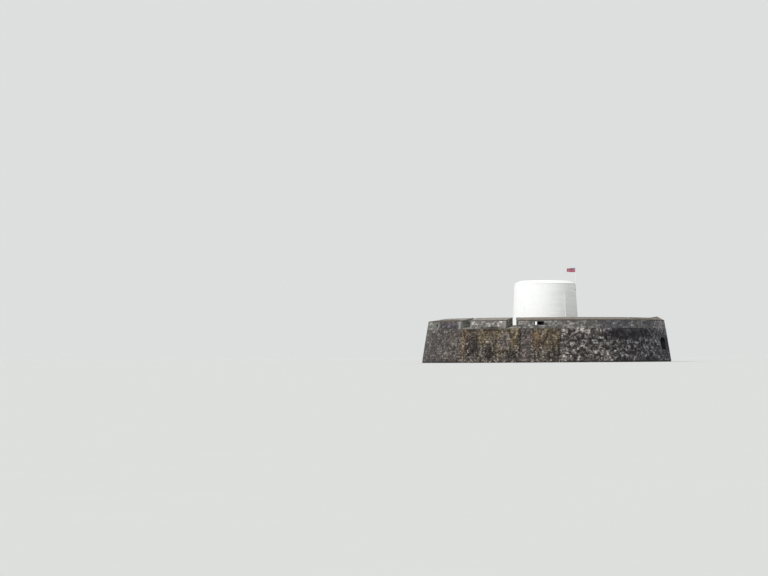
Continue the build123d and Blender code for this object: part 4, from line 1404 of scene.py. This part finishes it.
# %% Paint
class Paint(Nodes):
    """A finish in the making."""

    def __init__(self, name):
        super().__init__(bpy.data.materials.new(name))
        self.coords = self.node("ShaderNodeTexCoord", {}, {}, "Object")
        parts = self.node("ShaderNodeSeparateXYZ", {}, {"Vector": self.coords}, None)
        self.east, self.north, self.level = (Wire(self, parts.outputs[axis]) for axis in "XYZ")

    def noise(self, scale, detail=3.0, rough=0.55, stretch=None):
        """Soft random value from 0 to 1, with features about 1/scale metres across."""
        coords = self.coords
        if stretch:
            coords = self.node("ShaderNodeMapping", {}, {"Vector": coords, "Scale": stretch})
        return self.node("ShaderNodeTexNoise", {}, {"Vector": coords, "Scale": scale,
                                                    "Detail": detail, "Roughness": rough})

    def stones(self):
        """Tone of each stone."""
        return self.node("ShaderNodeAttribute", {"attribute_name": "tone"}, {}, "Fac")

    def blend(self, amount, first, second, way="MIX"):
        """Mix two colours."""
        return self.node("ShaderNodeMix", {"data_type": "RGBA", "blend_type": way},
                         {0: amount, 6: first, 7: second}, 2)

    def darkened(self, colour, amount, tint):
        """Darken a colour towards a tint of itself where a mask is high."""
        return self.blend(amount, colour, tint, "MULTIPLY")

    def scaled(self, colour, amount):
        """Make a colour lighter or darker by a value that varies over the surface."""
        return self.node("ShaderNodeVectorMath", {"operation": "SCALE"}, {0: colour, "Scale": amount})

    def colours(self, value, stops):
        return self.node("ShaderNodeValToRGB", {"stops": stops}, {"Fac": value}, "Color")

    def heading(self):
        """Heading of each point of the surface, in degrees."""
        return self.east.math("ARCTAN2", self.north * -1) * (180 / math.pi)

    def out(self):
        """Distance of each point from the middle of the fort."""
        return (self.east * self.east + self.north * self.north).math("SQRT")

    def grain(self, fine=28, coarse=7):
        """Height of a rough stone face: fine grain over slow dents."""
        return self.noise(fine, 6, 0.7) * 0.5 + self.noise(coarse, 3, 0.5)

    def bump(self, height, strength, distance):
        return self.node("ShaderNodeBump", {}, {"Height": height, "Strength": strength,
                                                "Distance": distance})

    def finish(self, colour, roughness, normal=None, metallic=0.0):
        inputs = {"Base Color": colour, "Roughness": roughness, "Metallic": metallic}
        if normal:
            inputs["Normal"] = normal
        shader = self.node("ShaderNodeBsdfPrincipled", {}, inputs)
        self.node("ShaderNodeOutputMaterial", {}, {"Surface": shader}, None)
        print("paint:", self.owner.name, len(self.tree.nodes), "nodes")
        return self.owner


print("a paint knows", [name for name in vars(Paint) if not name.startswith("_")])

# %% [markdown]
# ## Weathering by place
#
# Damp, soot and lichen belong to places on the wall, and not to single stones, and so does the shade
# that some of these masks paint on. A stain is a rough oval at a heading and a level, with its edge
# broken up by noise. A sector is all that lies between two headings. A list of tints round the wall
# colours whole lengths of it, and paints shade on the side away from the sun. Painting these by hand
# would need an image; masks worked out from the place need none.

# %% Weathering masks
def patch(paint, heading, level, half_width, half_height, soft=0.5):
    """A rough oval on the wall at a heading and a level."""
    wander = paint.noise(0.9, 4, 0.6) * 2 - 1
    across = (paint.heading() - heading) / half_width
    up = (paint.level - level) / half_height
    distance = (across * across + up * up).math("SQRT") + wander * 0.6
    return distance.ramp(1 + soft, 1 - soft)


def stains(paint, places):
    """The strongest of several patches, each given by its measures and then its strength."""
    masks = [patch(paint, *measures) * strength for *measures, strength in places]
    strongest = masks[0]
    for mask in masks[1:]:
        strongest = strongest.either(mask)
    return strongest


def sector(paint, low, high, soft=4):
    """The wall between two headings."""
    heading = paint.heading()
    return heading.ramp(low - soft, low + soft) * heading.ramp(high + soft, high - soft)


def tinted(paint, colour, tints, wander=4):
    """Tint a colour by the heading, from a list of headings and tints."""
    edge = paint.noise(0.5, 4, 0.6) * 2 - 1
    share = (paint.heading() + edge * wander) / 360 + 0.5
    stops = [((heading + 180) / 360, tint) for heading, tint in tints]
    return paint.darkened(colour, 1.0, paint.colours(share, stops))


def drifting(paint, colour, amount, scale=2.0):
    """Make clumps of stones lighter and darker by turns."""
    clump = paint.noise(scale, 2, 0.5).ramp(0.37, 0.63, -1, 1)
    return paint.scaled(colour, clump * amount + 1)


print("a degree of the wall is", round(math.radians(wall_face(0)), 3), "m at its foot")

# %% [markdown]
# ## Rubble granite
#
# The rubble runs from nearly black stones to pale ones. Each takes its place on a colour ramp from
# its own tone, mottled by noise, and clumps of stones drift lighter or darker. Over that come the
# tints of whole lengths of wall, which are the stone's own colour and, past heading 36, painted shade
# as well, then painted shade in black gaps between stones towards the gateway, a dark band under the
# parapet, and painted shade on the wall beyond the gate.

# %% Rubble paint
# Tints by heading: the stone's own colour, and past heading 36 painted shade, darker and bluish.
SCARP_TINT_AND_SHADE = [(-90, (0.66, 0.65, 0.67)), (-60, (0.62, 0.61, 0.62)), (-44, (0.66, 0.61, 0.57)),
               (-12, (0.68, 0.62, 0.62)), (-6, (0.68, 0.62, 0.62)), (7, (1, 0.98, 0.97)),
               (24, (0.98, 0.97, 0.98)), (36, (0.68, 0.69, 0.75)), (60, (0.56, 0.59, 0.73)),
               (88, (0.55, 0.57, 0.68)), (112, (0.66, 0.65, 0.67))]


def rubble_colour(paint, stops, drift=0.3):
    """Colour of rubble: a tone for each stone, mottled within and between the stones."""
    mottle = paint.noise(4.6, 5, 0.68)
    tone = paint.stones() * 0.8 + mottle.ramp(0.3, 0.72) * 0.6 - 0.2
    return drifting(paint, paint.colours(tone, stops), drift)


def stained_and_shaded(paint, colour):
    """Weathering of the battery wall by place, and painted shade on the side away from the sun."""
    colour = tinted(paint, colour, SCARP_TINT_AND_SHADE)
    # Painted shade: black gaps between the stones from heading 8 round to the gateway, below the sills.
    crevice_shade = paint.noise(1.5, 6, 0.75).ramp(0.50, 0.58) * sector(paint, 8, 92)
    crevice_shade = crevice_shade * paint.level.ramp(5.3, 4.6)
    colour = paint.darkened(colour, crevice_shade * 0.9, (0.25, 0.24, 0.27))
    band = stains(paint, [(42, 4.5, 17, 1.05, 0.3, 1), (24, 3.3, 8, 0.6, 0.6)])
    colour = paint.darkened(colour, band, (0.25, 0.235, 0.29))
    # Painted shade on the wall beyond the gateway, dark and bluish.
    shade_beyond_gate = patch(paint, 81.5, 2.9, 6.5, 1.25, 0.25)
    return paint.darkened(colour, shade_beyond_gate, (0.20, 0.205, 0.29))


paint = Paint("rubble_granite")
body = rubble_colour(paint, [(0.0, (0.018, 0.016, 0.014)), (0.3, (0.073, 0.064, 0.057)),
                             (0.6, (0.140, 0.125, 0.112)), (1.0, (0.40, 0.375, 0.35))],
                     sector(paint, 6, 95, 5) * 0.5 + 0.28)
scarp_paint = paint.finish(stained_and_shaded(paint, body), 0.9, paint.bump(paint.grain(), 0.8, 0.012))

# %% [markdown]
# ## Mortar
#
# The solids behind the stones show only in the joints, as dark mottled mortar. It takes the same
# stains and painted shade as the stones, or pale joints would run through a dark patch. On the narrow
# ledge under the parapet it is earth instead.

# %% Mortar
LEDGE_LOW, LEDGE_HIGH = 5.17, 5.26


def mortar_bump(paint):
    return paint.bump(paint.noise(30, 5, 0.7), 0.7, 0.01)


def mortar(name, dark, pale):
    """The solid behind the stones: mottled mortar in the joints."""
    paint = Paint(name)
    # The same stains and painted shade as the rubble.
    body = stained_and_shaded(paint, paint.colours(paint.noise(4, 5, 0.65), [(0.25, dark), (0.75, pale)]))
    above = paint.level.ramp(LEDGE_LOW, LEDGE_LOW + 0.01)
    ledge = above * paint.level.ramp(LEDGE_HIGH, LEDGE_HIGH - 0.01)
    earth = paint.colours(paint.noise(3, 5, 0.7), [(0.3, (0.045, 0.042, 0.032)),
                                                   (0.7, (0.10, 0.094, 0.076))])
    return paint.finish(paint.blend(ledge, body, earth), 0.95, mortar_bump(paint))


scarp_mortar = mortar("dark_mortar", (0.018, 0.016, 0.015), (0.048, 0.043, 0.039))
castle_mortar = mortar("castle_mortar", (0.012, 0.010, 0.008), (0.030, 0.025, 0.020))

# %% [markdown]
# ## Walls of the passage
#
# Little daylight gets into the passage, so its stones are darkened with painted shade. The open
# walls of the ramp are plain grey rubble. One mask tells them apart by the distance out.

# %% Passage paint
def inside_passage(paint):
    """Share of the way into the painted shade of the passage under the parapet."""
    return paint.out().ramp(15.4, 16.4) * sector(paint, GATE_HEADING - 8, GATE_HEADING + 8, 1)


PASSAGE_SHADE = (0.14, 0.14, 0.17)
paint = Paint("passage_granite")
body = rubble_colour(paint, [(0.0, (0.05, 0.048, 0.046)), (0.5, (0.13, 0.125, 0.12)),
                             (1.0, (0.30, 0.29, 0.28))])
# Painted shade: the walls under the parapet go dark.
body = paint.darkened(body, inside_passage(paint), PASSAGE_SHADE)
passage_paint = paint.finish(body, 0.9, paint.bump(paint.noise(20, 5, 0.7), 0.7, 0.01))

# %% [markdown]
# ## Faced granite of the parapet
#
# Each merlon has weathered in its own way. Tints round the wall set that, with hard steps at the
# gun openings, and past heading 28 they also paint shade, darker and bluish, on the side away from
# the sun. Quoins are told by their tone above 1 and get a paler, flecked colour, with the same
# painted shade there. Streaks run down the shaded side, one merlon is darker along its foot, one
# patch is painted shade in a joint and one is paler than the rest. The cheeks inside the openings
# have the same finish in a greener grey.

# %% Parapet paint
# Tints by heading: each merlon's own colour, and past heading 28 painted shade as well.
PARAPET_TINT_AND_SHADE = [(-80, (0.8, 0.8, 0.79)), (-70, (0.8, 0.8, 0.79)), (-66, (0.26, 0.24, 0.28)),
                 (-47, (0.26, 0.24, 0.28)), (-44, (0.88, 0.87, 0.86)), (-18, (0.88, 0.86, 0.85)),
                 (-15.5, (0.62, 0.61, 0.60)), (-6, (0.50, 0.49, 0.49)), (1, (0.70, 0.70, 0.70)),
                 (22, (0.72, 0.71, 0.72)), (31, (0.43, 0.43, 0.50)), (41, (0.44, 0.45, 0.51)),
                 (46, (0.56, 0.57, 0.62)), (56, (0.60, 0.61, 0.68)), (64, (0.70, 0.71, 0.79)),
                 (88, (0.70, 0.71, 0.79)), (112, (0.8, 0.8, 0.79))]


def parapet_paint(name, stops, quoin, drift):
    """Faced granite whose merlons have weathered differently, with pale dressed quoins and painted shade."""
    paint = Paint(name)
    runs = sector(paint, 28, 60) * 0.3
    body = rubble_colour(paint, stops, drift - runs * 0.5)
    streaks = paint.noise(1.3, 4, 0.6, (2.4, 2.4, 0.2)).ramp(0.35, 0.65, -1, 1)
    body = paint.scaled(body, streaks * runs + 1)
    body = tinted(paint, body, PARAPET_TINT_AND_SHADE, 1.5)
    fleck = paint.noise(6, 5, 0.7)
    quoins = paint.colours(fleck, [(0.3, tuple(part * 0.7 for part in quoin)), (0.7, quoin)])
    # Painted shade: the quoins darker on the side away from the sun.
    quoins = paint.scaled(quoins, 1 - sector(paint, 30, 92) * 0.45)
    body = paint.blend(paint.stones().ramp(1.1, 1.3), body, quoins)
    # Painted shade in a joint at heading 57.6, below the capping.
    body = paint.darkened(body, patch(paint, 57.6, 5.9, 2.0, 0.6, 0.3), (0.42, 0.42, 0.44))
    body = paint.scaled(body, patch(paint, -40.2, 5.85, 1.3, 0.4, 0.3) * 0.9 + 1)
    # One merlon is darker along its foot, with a wandering edge.
    foot_edge = paint.level + paint.noise(1.5, 4, 0.6) * 0.3
    dark_foot = sector(paint, -32.5, -20.5, 1.5) * foot_edge.ramp(5.74, 5.62)
    body = paint.darkened(body, dark_foot, (0.36, 0.37, 0.32))
    return paint.finish(body, 0.9, paint.bump(paint.grain(), 0.8, 0.010))


face_paint = parapet_paint("faced_granite", [
    (0.0, (0.085, 0.079, 0.075)), (0.35, (0.183, 0.172, 0.163)),
    (0.7, (0.285, 0.268, 0.252)), (1.0, (0.54, 0.515, 0.485))], (0.28, 0.27, 0.25), 0.3)
cheek_paint = parapet_paint("cheek_granite", [
    (0.0, (0.047, 0.050, 0.048)), (0.35, (0.128, 0.132, 0.121)),
    (0.7, (0.223, 0.227, 0.202)), (1.0, (0.405, 0.405, 0.365))], (0.28, 0.275, 0.25), 0.25)

# %% [markdown]
# ## Pale mortar of the parapet
#
# The joints of the parapet are paler than those of the rubble. The same solid also makes the sides
# of the loophole, which lie deep in shade and are painted nearly black with painted shade.

# %% Parapet mortar
paint = Paint("pale_mortar")
body = paint.colours(paint.noise(4, 5, 0.65), [(0.25, (0.085, 0.080, 0.076)),
                                               (0.75, (0.17, 0.161, 0.152))])
# The same tints as the faced granite, with their painted shade.
body = tinted(paint, body, PARAPET_TINT_AND_SHADE, 1.5)
in_wall = sector(paint, -6.5, 0.8, 0.3) * paint.out().ramp(18.75, 18.6)
# Painted shade: the sides of the loophole nearly black.
deep = in_wall * paint.level.ramp(LOOPHOLE_HEAD + 0.06, LOOPHOLE_HEAD) * paint.level.ramp(5.7, 5.76)
body = paint.darkened(body, deep, (0.3, 0.3, 0.31))
parapet_mortar = paint.finish(body, 0.95, mortar_bump(paint))

# %% [markdown]
# ## Old rubble: four kinds of stone
#
# The castle wall was built and mended with whatever lay at hand. Grey, ochre, rusty and lilac
# stones lie in patches that run into each other. All four kinds share one tone for each point, so
# that light and shade go on across their borders, and only the colour ramp changes.

# %% Castle stone kinds
paint = Paint("old_rubble")
streaks = paint.noise(2.4, 6, 0.7, (1, 1, 0.42))
mottle = paint.noise(5.5, 5, 0.7)
tone = paint.stones() * 0.6 + streaks.ramp(0.3, 0.7) * 0.75 + mottle.ramp(0.3, 0.7) * 0.5 - 0.45
grey = paint.colours(tone, [(0.0, (0.012, 0.010, 0.008)), (0.35, (0.046, 0.038, 0.030)),
                            (0.65, (0.103, 0.087, 0.070)), (1.0, (0.31, 0.275, 0.235))])
ochre = paint.colours(tone, [(0.0, (0.045, 0.033, 0.019)), (0.35, (0.110, 0.083, 0.050)),
                             (0.65, (0.175, 0.138, 0.090)), (1.0, (0.32, 0.265, 0.190))])
rust = paint.colours(tone, [(0.0, (0.042, 0.026, 0.015)), (0.35, (0.092, 0.058, 0.034)),
                            (0.65, (0.135, 0.092, 0.058)), (1.0, (0.21, 0.16, 0.112))])
lilac = paint.colours(tone, [(0.0, (0.040, 0.032, 0.032)), (0.35, (0.115, 0.096, 0.090)),
                             (0.65, (0.195, 0.168, 0.155)), (1.0, (0.36, 0.325, 0.30))])
in_ochre = stains(paint, [(-15.5, 4.0, 3.4, 1.9, 1), (-29.5, 4.1, 5.2, 1.4, 1), (2.6, 4.0, 4.8, 1.9, 1),
                          (-22, 4.5, 4.5, 0.9, 1), (-21, 2.2, 3, 1.2, 0.6)])
in_lilac = stains(paint, [(-18.8, 3.5, 2.2, 1.4, 1), (-25.5, 3.6, 2.4, 0.9, 0.45)])
in_rust = stains(paint, [(-4.8, 3.7, 2.4, 1.6, 1), (-42, 2.0, 2.4, 1.8, 0.8), (-40, 4.2, 3.0, 1.1, 0.8)])
colour = paint.blend(in_lilac * 0.85, paint.blend(in_ochre, grey, ochre), lilac)
colour = paint.blend(in_rust, colour, rust)
colour = paint.scaled(colour, patch(paint, -41.5, 2.2, 2.6, 1.8) * 0.3 + 1)
print("castle stone so far:", len(paint.tree.nodes), "nodes")

# %% [markdown]
# ## Old rubble: shade and cracks
#
# Hollows in the old face get painted shade, and long cracks run down it where stones have
# shifted. The painted shade is a list of stains and two bands under the ledge. The cracks are noise
# that is stretched upwards and cut off high, which leaves narrow dark runs.

# %% Castle paint
# Painted shade in the hollows and under the ledge.
shade = stains(paint, [(-35.2, 2.9, 2.5, 1.9, 1), (-15.5, 1.2, 2.2, 0.7, 1),
                       (-26.5, 1.6, 1.8, 1.1, 0.3, 1),
                       (4.2, 2.6, 2.6, 1.2, 0.6), (-25, 3.5, 2.2, 1.7, 0.3),
                       (3.8, 4.95, 3.4, 0.6, 0.4, 0.75)])
shade = shade.either(sector(paint, -35, -22, 2) * paint.level.ramp(4.8, 5.0) * 0.9)
colour = paint.darkened(colour, shade, (0.42, 0.39, 0.41))
cracks = paint.noise(1.3, 5, 0.72, (1.6, 1.6, 0.5)).ramp(0.58, 0.66)
drift = 0.42 - in_ochre.either(in_rust).either(in_lilac) * 0.22
colour = paint.darkened(drifting(paint, colour, drift, 2.4), cracks * 0.9, (0.22, 0.20, 0.20))
castle_paint = paint.finish(colour, 0.93, paint.bump(paint.grain(26, 6), 0.9, 0.02))

# %% [markdown]
# ## Capping
#
# The capping is dressed granite, pale and a little pink, and darker and browner on the gateway
# side, which is partly its own colour and partly painted shade away from the sun. Each slab has its
# own tone, mottled at two scales. Its lip over the face is darker, nearly black.

# %% Capping paint
# Tints by heading: the slabs' own colour, and on the gateway side painted shade as well.
CAPPING_TINT_AND_SHADE = [(-80, (0.9, 0.88, 0.82)), (-55, (0.86, 0.84, 0.83)), (-20, (0.9, 0.86, 0.85)),
                 (-8, (0.68, 0.64, 0.60)), (24, (0.625, 0.585, 0.54)), (50, (0.56, 0.53, 0.475)),
                 (88, (0.655, 0.60, 0.53)), (120, (0.9, 0.88, 0.82))]


def slab_colour(paint, dark, colour, pale):
    """Worn granite slabs: a tone for each slab, mottled at two scales."""
    tone = paint.stones() * 0.34 + paint.noise(1.6, 6, 0.62).ramp(0.3, 0.7) * 0.42
    tone = tone + paint.noise(14, 5, 0.7) * 0.4
    return paint.colours(tone - 0.08, [(0.1, dark), (0.5, colour), (0.9, pale)])


def finish_slabs(paint, body):
    return paint.finish(body, 0.88, paint.bump(paint.noise(14, 5, 0.7), 0.6, 0.006))


paint = Paint("capping_granite")
body = slab_colour(paint, (0.13, 0.117, 0.104), (0.27, 0.248, 0.226), (0.44, 0.41, 0.375))
body = tinted(paint, body, CAPPING_TINT_AND_SHADE, 3)
height = paint.level - sector(paint, -64, -47) * 0.15 + paint.noise(0.7, 4, 0.6) * 0.12
lip = height.ramp(6.67, 6.59) * paint.level.ramp(6.2, 6.3)
capping_paint = finish_slabs(paint, paint.darkened(body, lip, (0.34, 0.30, 0.26)))

# %% [markdown]
# ## Dressed stone of the gateway
#
# The surround of the gateway is cut from the same granite as the capping, but it is darkened with
# painted shade, most of all on the jamb that never gets the sun. Two sectors of different strength
# make the one side darker than the other.

# %% Gateway paint
paint = Paint("dressed_granite")
body = slab_colour(paint, (0.12, 0.112, 0.102), (0.22, 0.208, 0.19), (0.34, 0.325, 0.30))
# Painted shade over the gateway, and more of it on the far jamb.
body = paint.darkened(body, sector(paint, GATE_HEADING - 10, GATE_HEADING + 14, 0.8), (0.42, 0.42, 0.46))
jamb_shade = sector(paint, GATE_HEADING - 2.2, GATE_HEADING + 14, 0.8)
dressed_paint = finish_slabs(paint, paint.darkened(body, jamb_shade, (0.30, 0.31, 0.47)))

# %% [markdown]
# ## Paving and fill
#
# The courtyard, the ramp and the tower's platform are paved in the same worn granite. The fill
# under the paving is rubble and earth. It shows only in open joints, and is finished all the same,
# because a joint seen from above is a line of it.

# %% Paving and fill paint
paint = Paint("worn_paving")
body = slab_colour(paint, (0.13, 0.122, 0.11), (0.26, 0.246, 0.222), (0.38, 0.36, 0.33))
# Painted shade: the paving inside the passage goes dark as well.
paving_paint = finish_slabs(paint, paint.darkened(body, inside_passage(paint), PASSAGE_SHADE))
paint = Paint("rubble_fill")
body = slab_colour(paint, (0.05, 0.045, 0.038), (0.12, 0.105, 0.088), (0.2, 0.18, 0.15))
fill_paint = finish_slabs(paint, body)

# %% [markdown]
# ## Whitewash
#
# The tower has thick matt white paint over its stones. It is faintly grey in streaks, with a thin
# band of painted shade under the rim. On the side where the light rakes along it the beds show as
# level bands, so a noise that is stretched round the drum paints their shade there. It stays a
# little under pure white, and the lamps are set so that it doesn't clip.

# %% White paint
paint = Paint("whitewash_coat")
streak = paint.noise(1.1, 5, 0.6, (3.2, 3.2, 0.35))
film = paint.noise(9, 5, 0.65)
beds_show = paint.noise(2.3, 1, 0.5, (0.06, 0.06, 1))
# Painted shade: a thin grey band just under the rim.
rim_shade = paint.level.ramp(12.2, 12.42) * paint.level.ramp(12.54, TOWER_RIM)
dirt_and_shade = streak.ramp(0.55, 0.8) * 0.5 + film.ramp(0.55, 0.85) * 0.25
# Painted shade of the beds where the light rakes along the drum; faint bed lines elsewhere.
raking = sector(paint, 8, 95, 10)
dirt_and_shade = dirt_and_shade + beds_show.ramp(0.35, 0.65) * (raking * 0.27 + 0.04) + rim_shade * 0.4
body = paint.blend(dirt_and_shade, (0.895, 0.90, 0.89), (0.72, 0.72, 0.69))
body = paint.scaled(body, paint.stones() * 0.03 + 0.975)
white = paint.finish(body, 0.8, paint.bump(film, 0.35, 0.006))

# %% [markdown]
# ## Timber, iron and metal paint
#
# Boards, oak, gloss paint and black iron are all one coat that is a little uneven in colour and
# sheen, and differ only in its numbers. Timber gets a grain by stretching the noise along it. The
# two brackets of the flagpole share a node: the lower is bare iron, and the upper has been painted
# over with the pole, so their paint changes colour at a level between them.

# %% Plain paints
def plain_paint(name, dark, pale, roughness, metallic=0.0, stretch=None):
    """A coat that is a little uneven in colour and sheen."""
    paint = Paint(name)
    patches = paint.noise(12, 5, 0.6, stretch)
    body = paint.colours(patches, [(0.25, dark), (0.75, pale)])
    return paint.finish(body, patches.ramp(0.2, 0.8, roughness - 0.1, roughness + 0.1),
                        paint.bump(patches, 0.3, 0.002), metallic)


IRON_DARK, IRON_PALE, POLE_WHITE = (0.022, 0.021, 0.02), (0.045, 0.038, 0.034), (0.80, 0.80, 0.79)
timber_paint = plain_paint("bare_timber", (0.11, 0.075, 0.045), (0.22, 0.155, 0.10), 0.8,
                           stretch=(1, 0.2, 1))
door_paint = plain_paint("door_oak", (0.07, 0.05, 0.03), (0.16, 0.115, 0.07), 0.75,
                         stretch=(1.6, 1.6, 0.12))
pipe_paint = plain_paint("pipe_gloss", (0.80, 0.805, 0.795), (0.87, 0.875, 0.865), 0.45)
pole_paint = plain_paint("pole_gloss", POLE_WHITE, (0.87, 0.87, 0.86), 0.4)
iron_paint = plain_paint("black_iron", IRON_DARK, IRON_PALE, 0.55, 0.6)
paint = Paint("bracket_iron")
chips = paint.noise(14, 5, 0.6)
black = paint.colours(chips, [(0.3, IRON_DARK), (0.7, IRON_PALE)])
body = paint.blend(paint.level.ramp(11.75, 11.8), black, POLE_WHITE)
bracket_paint = paint.finish(body, 0.5, paint.bump(chips, 0.3, 0.002))

# %% [markdown]
# ## Bunting
#
# The flag has a plain red field and a dark blue corner with a white-edged cross. The pattern is
# worked out from the cloth's own UV map, so that it follows the waves. The cross is all that lies
# near one of two lines, which is the smaller of two distances. A fine weave goes into the bump.

# %% Bunting paint
EDGING, CROSS = 0.050, 0.034
paint = Paint("woven_bunting")
cloth_map = paint.node("ShaderNodeTexCoord", {}, {}, "UV")
axes = paint.node("ShaderNodeSeparateXYZ", {}, {"Vector": cloth_map}, None)
run, up = Wire(paint, axes.outputs["X"]), Wire(paint, axes.outputs["Y"])
corner = run.math("GREATER_THAN", 0.5) * up.math("GREATER_THAN", 0.5)
off_run = (run - 0.75).math("ABSOLUTE") * FLAG_FLY
off_up = (up - 0.75).math("ABSOLUTE") * FLAG_HOIST
to_cross = off_run.both(off_up)
field = paint.colours(paint.noise(5, 4, 0.6), [(0.3, (0.32, 0.085, 0.125)), (0.7, (0.46, 0.155, 0.20))])
body = paint.blend(corner, field, (0.075, 0.08, 0.16))
body = paint.blend(to_cross.math("LESS_THAN", EDGING) * corner, body, (0.60, 0.58, 0.58))
body = paint.blend(to_cross.math("LESS_THAN", CROSS) * corner, body, (0.34, 0.085, 0.11))
thread = (run * 900).math("SINE") + (up * 450).math("SINE")
flag_paint = paint.finish(body, 0.9, paint.bump(thread, 0.25, 0.0008))

# %% [markdown]
# ## Putting the paints on
#
# A solid takes its paint by the material slot that the record gives it, so none is forgotten. The
# laid pieces are few enough to name one by one. Only materials are assigned: no solid is moved or
# reshaped.

# %% Put the paints on
PAINTS = {"scarp_stone": scarp_mortar, "castle_stone": castle_mortar, "parapet_stone": parapet_mortar,
          "capping_stone": capping_paint, "dressed_stone": dressed_paint, "paving_stone": paving_paint,
          "fill_rubble": fill_paint, "whitewash": white, "vault_masonry": white,
          "floor_timber": timber_paint, "door_timber": door_paint, "pipe_paint": pipe_paint,
          "pole_paint": pole_paint, "wrought_iron": bracket_paint, "bunting": flag_paint}
slots = {part["node"]: part["material_slot"] for part in frame["record"]["subparts"]}
coats = [(node, PAINTS[slots[name]]) for name, node in frame["nodes"].items()]
coats += [(scarp, scarp_paint), (parapet, face_paint), (inner, face_paint), (cheeks, cheek_paint),
          (capping, capping_paint), (ridge, capping_paint), (sills, capping_paint), (castle, castle_paint),
          (tower, white), (top, white), (lining, white), (boards, white), (paving, paving_paint),
          (ramp, paving_paint), (platform, paving_paint), (surround, dressed_paint),
          (passage, passage_paint), (planks, door_paint), (irons, iron_paint), (cloth, flag_paint)]
for piece, coat in coats:
    piece.data.materials.clear()
    piece.data.materials.append(coat)
print("painted", len(coats), "pieces")

# %% [markdown]
# ## Floor
#
# A plain pale floor stands in for the ground. It is large enough to meet the sky at the horizon,
# and it lies a few millimetres under the foot of the wall, so that the two don't flicker.

# %% Floor
leave_edit()
bpy.ops.mesh.primitive_plane_add(size=9000, location=(0, 0, -0.004))
floor = bpy.context.object
floor.name = "floor"
bpy.ops.object.transform_apply(location=True)
paint = Paint("pale_floor")
speckle = paint.noise(0.6, 4, 0.6)
floor.data.materials.append(paint.finish(paint.blend(speckle, (0.60, 0.60, 0.59), (0.62, 0.62, 0.61)), 0.9))
floor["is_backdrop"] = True

# %% [markdown]
# ## Sizes at the end
#
# The dressed fort has to be exactly as large as its solids. The box round all that renders, solids
# and stones together, is printed.

# %% Sizes at the end
low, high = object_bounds()
print("visual from", tuple(low), "to", tuple(high))
